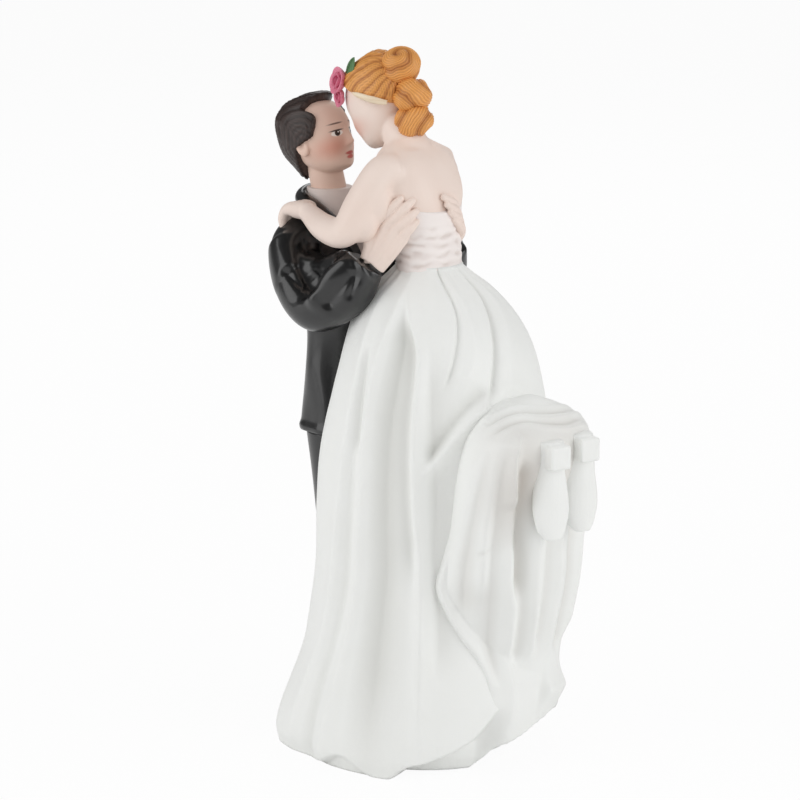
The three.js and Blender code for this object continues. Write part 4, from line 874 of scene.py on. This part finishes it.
back = rows(trainReach, height) - rows(skirtAxis, z, 1 / skirt["waistZ"])
wall = smoothStep(z, *train["wallZ"])
foot = 1 - smoothStep(z, *train["footZ"])
leftSide = (1 - share ** (2.6 + 3.4 * wall)) ** (0.75 - 0.25 * wall)
rim = (train["tuck"] + train["rimProud"]) / np.maximum(back - inside, 6) * (1 - share ** 24) ** 0.5
leftSide = foot * smoothStep(turn - left, 0, train["footTurn"]) + (1 - foot) * np.maximum(leftSide, rim)
edge = np.where(fromMiddle < 0, leftSide, (1 - share ** 3) ** 0.6)
folds = drawFolds(turn, z, train["strokes"], 30.0)
reach = inside + above * (edge * (back - inside) + (1 - share ** 12) ** 0.5 * folds)
bm = bmesh.new()
# painted shade in the fold hollows, and in the sunk marks below
bendSheet(bm, turn, z, reach, foldShade(folds, 0.45, 0.8))
score(bm, train["marks"], 0.8)
finishPiece(bm, "gown_train", trainWhite, ["bride_train"])


# bodice with gathered folds round the body
bodice = {"thickness": 0.75, "backRise": 10.7, "frontRise": 15.5, "foldPitch": 1.9, "foldDepth": 0.32,
          "foot": (2.4, 0, 95.5, 5.6, 6.9), "plainZ": (105.6, 106.6)}  # plain along the upper edge


def bodiceFolds(turn, z):
    around = Vector((2.2 * cos(turn), 2.2 * sin(turn), 0.3 * z))
    phase = z / bodice["foldPitch"] + 0.5 * noise.noise(around) + 0.08 * noise.noise(3 * around)
    patch = noise.noise(Vector((3.1 * cos(turn), 3.1 * sin(turn), 0.8 * z)))
    fade = 0.25 + 0.75 * smoothStep(patch, -0.35, 0.35)
    groove = strandGroove(phase, 3.6) * (1 - smoothStep(z, *bodice["plainZ"])) * fade
    # the fold grooves also get painted shade
    return bodice["thickness"] - bodice["foldDepth"] * groove, 0.8 * groove


bm = bmesh.new()
addLoft(bm, [bodice["foot"]] + torsoSections[:5], 120, 120, bodiceFolds)
waistDepth = bride["torso"][0][2]
slope = Vector((bodice["frontRise"] - bodice["backRise"], 0, 2.5 * waistDepth)).normalized()
edge = Vector(bride["waist"]) + Vector((waistDepth, 0, bodice["backRise"]))
geometry = list(bm.verts) + list(bm.edges) + list(bm.faces)
bmesh.ops.bisect_plane(bm, geom=geometry, plane_co=edge, plane_no=slope, clear_outer=True)
bmesh.ops.holes_fill(bm, edges=[e for e in bm.edges if e.is_boundary])
finishPiece(bm, "gown_bodice", bodiceWhite, ["bride_bodice"])


# bride's shoes: heels up, soles to the back and a little to the groom's right
brideShoe = {
    "soleX": 39.9, "heelZ": 69.0, "length": 19.2, "halfWidth": 3.9, "sideY": {"left": -5.6, "right": 3.2},
    "depth": 6.6, "turn": -18, "heel": (3.6, 4.4, 4.6), "heelIn": 0.2, "heelDrop": 2.8, "heelRound": 0.45,
    "sections": [  # rise, thickness and width, all as shares
        (0, 0.3, 0.45), (0.04, 0.44, 0.62), (0.1, 0.55, 0.8), (0.28, 0.64, 1), (0.5, 0.76, 0.92),
        (0.7, 0.91, 0.78), (0.88, 1, 0.8), (0.97, 0.9, 0.74), (1, 0.7, 0.6)],
}
for name, y in brideShoe["sideY"].items():
    bm = bmesh.new()
    sections = []
    for rise, thick, wide in brideShoe["sections"]:
        half = 0.5 * thick * brideShoe["depth"]
        sections.append((brideShoe["soleX"] - half, y, brideShoe["heelZ"] - (1 - rise) * brideShoe["length"],
                         half, wide * brideShoe["halfWidth"]))
    addLoft(bm, sections, 48, 48)
    heel = bmesh.ops.create_cube(bm, size=1)["verts"]
    bmesh.ops.scale(bm, vec=Vector(brideShoe["heel"]), verts=heel)
    heelAt = (brideShoe["soleX"] - brideShoe["heelIn"], y, brideShoe["heelZ"] - brideShoe["heelDrop"])
    bmesh.ops.translate(bm, vec=Vector(heelAt), verts=heel)
    heelEdges = list({e for v in heel for e in v.link_edges})
    bmesh.ops.bevel(bm, geom=heelEdges, offset=brideShoe["heelRound"], segments=3, profile=0.5,
                    affect="EDGES", material=-1)
    bmesh.ops.rotate(bm, cent=Vector((brideShoe["soleX"], y, 0)), verts=bm.verts,
                     matrix=Matrix.Rotation(radians(brideShoe["turn"]), 3, "Z"))
    finishPiece(bm, "bride_shoe_" + name, whiteGown, ["bride_%s_shoe" % name],
                voxel=0.2, rounds=2)


# groom's suit
suit = {
    "jacketX": -20.2, "neckX": -24.1, "neckZ": 108.4,
    "jacketHalf": {"hem": (7.2, 10.2), "waist": (6.2, 8.6), "chest": (6.9, 10.6), "neck": (4.4, 4.6)},
    "jacket": [  # lean to the neck, height, and shares of a half size
        (0, 62, "hem", 1, 1), (0, 70, "hem", 0.96, 0.94), (0, 82, "waist", 1, 1),
        (0.23, 91, "chest", 0.98, 0.93), (0.5, 98, "chest", 1, 1), (0.87, 104.2, "chest", 0.87, 0.92),
        (1, 107, "chest", 0.74, 0.62), (1, 108.4, "neck", 1, 1)],
    "folds": {"drag": 0.35, "seam": 0.35, "hem": 0.35, "ripple": 0.5},  # depths on the jacket
    "shirt": [  # forward and rise from the neck, half depth, half width
        (4.0, -11, 5.1, 3.0), (2.6, -5.4, 5.6, 5.4), (1.3, -1.8, 5.5, 5.7), (0.2, 0.8, 5.1, 5.2),
        (-0.3, 2.4, 4.5, 4.6)],
    # one rolled collar, from the buttons round the neck
    "lapel": [(-14.2, -1.2, 93), (-14.6, -3.8, 99), (-17.4, -6.6, 104), (-22, -7.2, 107.2),
              (-27, -5.2, 108.8), (-28.9, 0, 109.6)],
    "lapelRadii": [0.9, 1.5, 2.0, 1.9, 1.5, 1.4],
}


def jacketFolds(turn, z):
    depth = suit["folds"]
    drag = sin(3 * turn + 0.09 * (z - 62)) * smoothStep(z, 66, 76) * (1 - smoothStep(z, 92, 102))
    seam = exp(-((abs(turn) - pi) / 0.05) ** 2)
    hem = exp(-((z - 62.8) / 0.8) ** 2)
    ripple = sin(5 * turn + 0.6) * (1 - smoothStep(z, 62, 76))
    return depth["drag"] * drag - depth["seam"] * seam + depth["hem"] * hem + depth["ripple"] * ripple, 0


sections = []
for lean, z, part, deep, wide in suit["jacket"]:
    halfDepth, halfWidth = suit["jacketHalf"][part]
    x = suit["jacketX"] + lean * (suit["neckX"] - suit["jacketX"])
    sections.append((x, 0, z, deep * halfDepth, wide * halfWidth))
bm = bmesh.new()
addLoft(bm, sections, 140, 140, jacketFolds)
finishPiece(bm, "groom_jacket_body", blackSuit, ["groom_jacket"])

bm = bmesh.new()
farLapel = [onSide(p, -1) for p in reversed(suit["lapel"][:-1])]
addLimb(bm, suit["lapel"] + farLapel, suit["lapelRadii"] + suit["lapelRadii"][-2::-1], 32, 120)
finishPiece(bm, "groom_collar", blackSuit, ["groom_lapels"])

bm = bmesh.new()
addLoft(bm, [(suit["neckX"] + f, 0, suit["neckZ"] + r, d, w) for f, r, d, w in suit["shirt"]], 96, 40,
        lambda turn, z: (0.12 * sin(9 * turn) * (1 - smoothStep(z, 104, 107)), 0))
finishPiece(bm, "groom_shirt_front", shirtPaint, ["groom_shirt"], levels=1)

sleeves = {
    "right": [(-22.4, -7.6, 103), (-23.2, -11, 100), (-18.6, -15, 93.8), (-12.5, -16.4, 90),
              (-5.4, -15, 94.6), (-2.6, -13.0, 99.5)],
    "left": [(-22.4, 7.6, 103), (-23.2, 11, 100), (-18.8, 14.8, 93.8), (-12.8, 15.6, 90.2),
             (-6.2, 13.8, 94.6), (-3.4, 11.8, 99.6)],
    "radii": [4.2, 5.1, 5.1, 4.8, 4.9, 3.7],
    # the wide cuff hangs below the forearm
    "cuffFrom": (0.52, 0.86), "droop": (-0.42, 0, -0.91), "sag": 2.2, "puff": 1.4, "cuffWave": 0.35,
    "inElbow": [(-18.2, -13.0, 97.8), (-12.5, -14.6, 96.8), (-6.5, -14.4, 98.4)],
    "inElbowRadii": [3.6, 3.3, 3.4],
    "marks": [
        (1.0, 3.4, [(-24.5, -15, 103), (-22.2, -16.8, 100.6), (-19.4, -18, 98.4), (-17.0, -18.6, 96.8)]),
        (-2.0, 2.8, [(-20.4, -12, 104), (-17.4, -13.6, 100.6), (-14.4, -16.0, 97.5), (-11.8, -19.2, 94.2),
                     (-10.4, -20.6, 92)]),
        (-0.5, 0.8, [(-19.3, -19.1, 97.0), (-16.3, -19.5, 95.5), (-14.0, -19.5, 94.3)]),
        (1.1, 2.0, [(-10.7, -21.1, 90.0), (-8.1, -20.3, 94.7), (-5.7, -18.8, 98.3), (-3.6, -16.8, 101.8)]),
        (-1.1, 2.0, [(-7.4, -20.8, 90.4), (-3.5, -19.7, 95.0), (-0.5, -17.4, 99.4)]),
        (-0.6, 0.8, [(-2.8, -17.0, 101.8), (-0.7, -17.8, 97.6), (-2.6, -18.3, 91.9)]),
    ],
}


def sleeveShape(turn, t, out):
    low = out.dot(Vector(sleeves["droop"]))
    hang = sleeves["sag"] * max(low, 0) ** 1.4 + sleeves["puff"] * max(-low, 0) ** 1.4
    wave = sleeves["cuffWave"] * smoothStep(t, 0.93, 0.99) * sin(5 * turn)
    return smoothStep(t, *sleeves["cuffFrom"]) * hang + wave, 0


for name, side in (("right", 1), ("left", -1)):
    bm = bmesh.new()
    addLimb(bm, sleeves[name], sleeves["radii"], 96, 150, sleeveShape)
    addLimb(bm, [onSide(p, side) for p in sleeves["inElbow"]], sleeves["inElbowRadii"], 32, 24)
    melt(bm, 0.22, 8)
    score(bm, [(lift, width, [onSide(p, side) for p in line]) for lift, width, line in sleeves["marks"]])
    for again in range(5):
        bmesh.ops.smooth_vert(bm, verts=bm.verts, factor=0.5,
                              use_axis_x=True, use_axis_y=True, use_axis_z=True)
    finishPiece(bm, "groom_sleeve_" + name, blackSuit, ["groom_%s_sleeve" % name])

hands = {  # spread flat on the bride's back
    "radius": 0.98,
    "right": {"wrist": (-1.4, -12.3, 99.4), "bow": (0.35, -0.7, 0),
              "thumb": [(-2.6, -11.6, 106.4), (-1.3, -10.6, 110.2)],
              "knuckles": [(-1.2, -10.2, 107.5), (0.5, -10, 106.8), (2.1, -9.6, 105.9), (3.3, -9.0, 104.5)],
              "tips": [(2.7, -8.6, 112.1), (4.6, -7.3, 111.8), (5.1, -6.9, 109.7), (5.1, -6.9, 107.6)]},
    "left": {"wrist": (-1.8, 8.6, 99.4), "bow": (1.3, 0.4, 0),
             "thumb": [(-2.0, 9.6, 104.6), (-1.2, 9.0, 108.4)],
             "knuckles": [(2.2, 7.2, 107.4), (3.0, 6.9, 105.8), (3.6, 6.5, 104.2), (3.9, 6.1, 102.6)],
             "tips": [(7.2, -1.2, 112.0), (7.5, -0.5, 110.5), (7.6, 0.4, 108.9), (7.5, 1.6, 107.3)]},
}
for name in ("right", "left"):
    hand, radius = hands[name], hands["radius"]
    bm = bmesh.new()
    addHand(bm, hand["wrist"], hand["knuckles"], hand["tips"], hand["bow"], radius)
    sizes = [share * radius for share in thumbTaper]
    addLimb(bm, [hand["wrist"]] + hand["thumb"], sizes, 16, 20)
    addBall(bm, hand["thumb"][-1], [sizes[-1]] * 3, detail=3)
    finishPiece(bm, "groom_hand_" + name, brideSkin, ["groom_%s_hand" % name], voxel=0.13, rounds=4)

legs = {
    "apart": 4.75,
    "trouser": [  # forward, height, half depth, half width
        (-17.1, 3, 5, 3.9), (-17.1, 12.4, 4.7, 3.8), (-17.1, 32, 4.6, 3.8), (-18, 50, 5.6, 4.26),
        (-19.6, 61.7, 5.9, 4.35)],
    "frontCrease": 0.3, "backCrease": 0.35, "ankleFolds": 0.4,
    "shoe": [(-14.6, 0, 8.1, 2.95), (-14.6, 0.5, 8.3, 3.1), (-14.6, 1.0, 8.3, 3.1), (-14.6, 1.2, 8.0, 2.9),
             (-15.2, 2.5, 7.3, 2.85), (-17.4, 4, 4.6, 2.5), (-17.9, 5, 3.3, 2.2)],
}


def trouserFolds(turn, z):
    creases = (legs["frontCrease"] * exp(-(turn / 0.12) ** 2)
               + legs["backCrease"] * exp(-((abs(turn) - pi) / 0.12) ** 2))
    return creases + legs["ankleFolds"] * sin(0.9 * z + 2 * turn) * (1 - smoothStep(z, 3, 14)), 0


for name, side in (("right", -1), ("left", 1)):
    y = side * legs["apart"]
    bm = bmesh.new()
    addLoft(bm, [(x, y, z, d, w) for x, z, d, w in legs["trouser"]], 72, 110, trouserFolds)
    finishPiece(bm, "groom_trouser_" + name, blackSuit, ["groom_%s_trouser" % name])
    bm = bmesh.new()
    addLoft(bm, [(x, y, z, d, w) for x, z, d, w in legs["shoe"]], 64, 60)
    finishPiece(bm, "groom_shoe_" + name, blackSuit, ["groom_%s_shoe" % name])
print("suit dressed")


# floor, light and the photograph's camera
studio = {
    "floorRadius": 6, "floorTone": 0.92, "floorGlow": 0.94, "worldLevel": 0.5,
    "glossCut": 0.36,  # dark suits keep dark reflections
    "lamps": {"key": ((-0.36, -0.85, 0.5), 1.0, 4.6), "fill": ((0.85, 0.2, 0.4), 0.8, 3.5),
              "back": ((-0.4, 0.6, 0.6), 0.5, 1.3)},  # place, size, power
    "cameraAt": (388.2, -437.2, 205.2), "lookAt": (-2.94, -2.65, 70.22), "lens": 135.5, "sensor": 36,
}
floorMaterial = bpy.data.materials.new("pale_floor")
floorMaterial.use_nodes = True
tree = floorMaterial.node_tree
floorShader = tree.nodes["Principled BSDF"]
floorShader.inputs["Base Color"].default_value = (*[studio["floorTone"]] * 3, 1)
floorShader.inputs["Roughness"].default_value = 0.8
seenByCamera = addNode(tree, "LightPath").outputs["Is Camera Ray"]
blend = addNode(tree, "MixShader", {
    0: mathNode(tree, "MULTIPLY", seenByCamera, studio["floorGlow"]), 1: floorShader.outputs[0],
    2: addNode(tree, "Emission").outputs[0]})
tree.links.new(blend.outputs[0], tree.nodes["Material Output"].inputs["Surface"])
bm = bmesh.new()
bmesh.ops.create_circle(bm, cap_ends=True, segments=96, radius=studio["floorRadius"])
floorMesh = bpy.data.meshes.new("floor")
bm.to_mesh(floorMesh)
bm.free()
floorMesh.materials.append(floorMaterial)
floor = bpy.data.objects.new("floor", floorMesh)
bpy.context.scene.collection.objects.link(floor)

world = bpy.data.worlds.new("studio")
world.use_nodes = True
bpy.context.scene.world = world
tree = world.node_tree
background = tree.nodes["Background"]
background.inputs["Color"].default_value = (1, 1, 1, 1)
rays = addNode(tree, "LightPath").outputs
shown = mathNode(tree, "MAXIMUM", rays["Is Camera Ray"], rays["Is Transmission Ray"])
level = addNode(tree, "MapRange", {"Value": shown, "To Min": studio["worldLevel"], "To Max": 1.0})
dimmed = mathNode(tree, "MULTIPLY", rays["Is Glossy Ray"], studio["glossCut"])
tree.links.new(mathNode(tree, "SUBTRACT", level.outputs["Result"], dimmed), background.inputs["Strength"])

target = Vector(studio["lookAt"]) * mm
for name, (at, size, power) in studio["lamps"].items():
    light = bpy.data.lights.new(name, "AREA")
    light.size = size
    light.energy = power
    lamp = bpy.data.objects.new(name, light)
    lamp.location = at
    lamp.rotation_euler = (target - Vector(at)).to_track_quat("-Z", "Y").to_euler()
    bpy.context.scene.collection.objects.link(lamp)

view = bpy.data.cameras.new("photograph")
view.sensor_width = studio["sensor"]
view.lens = studio["lens"]
view.clip_start = 0.01
camera = bpy.data.objects.new("photograph", view)
camera.location = Vector(studio["cameraAt"]) * mm
camera.rotation_euler = (target - camera.location).to_track_quat("-Z", "Y").to_euler()
bpy.context.scene.collection.objects.link(camera)
bpy.context.scene.camera = camera
bpy.context.scene.view_settings.view_transform = "Standard"

print("scene ready")
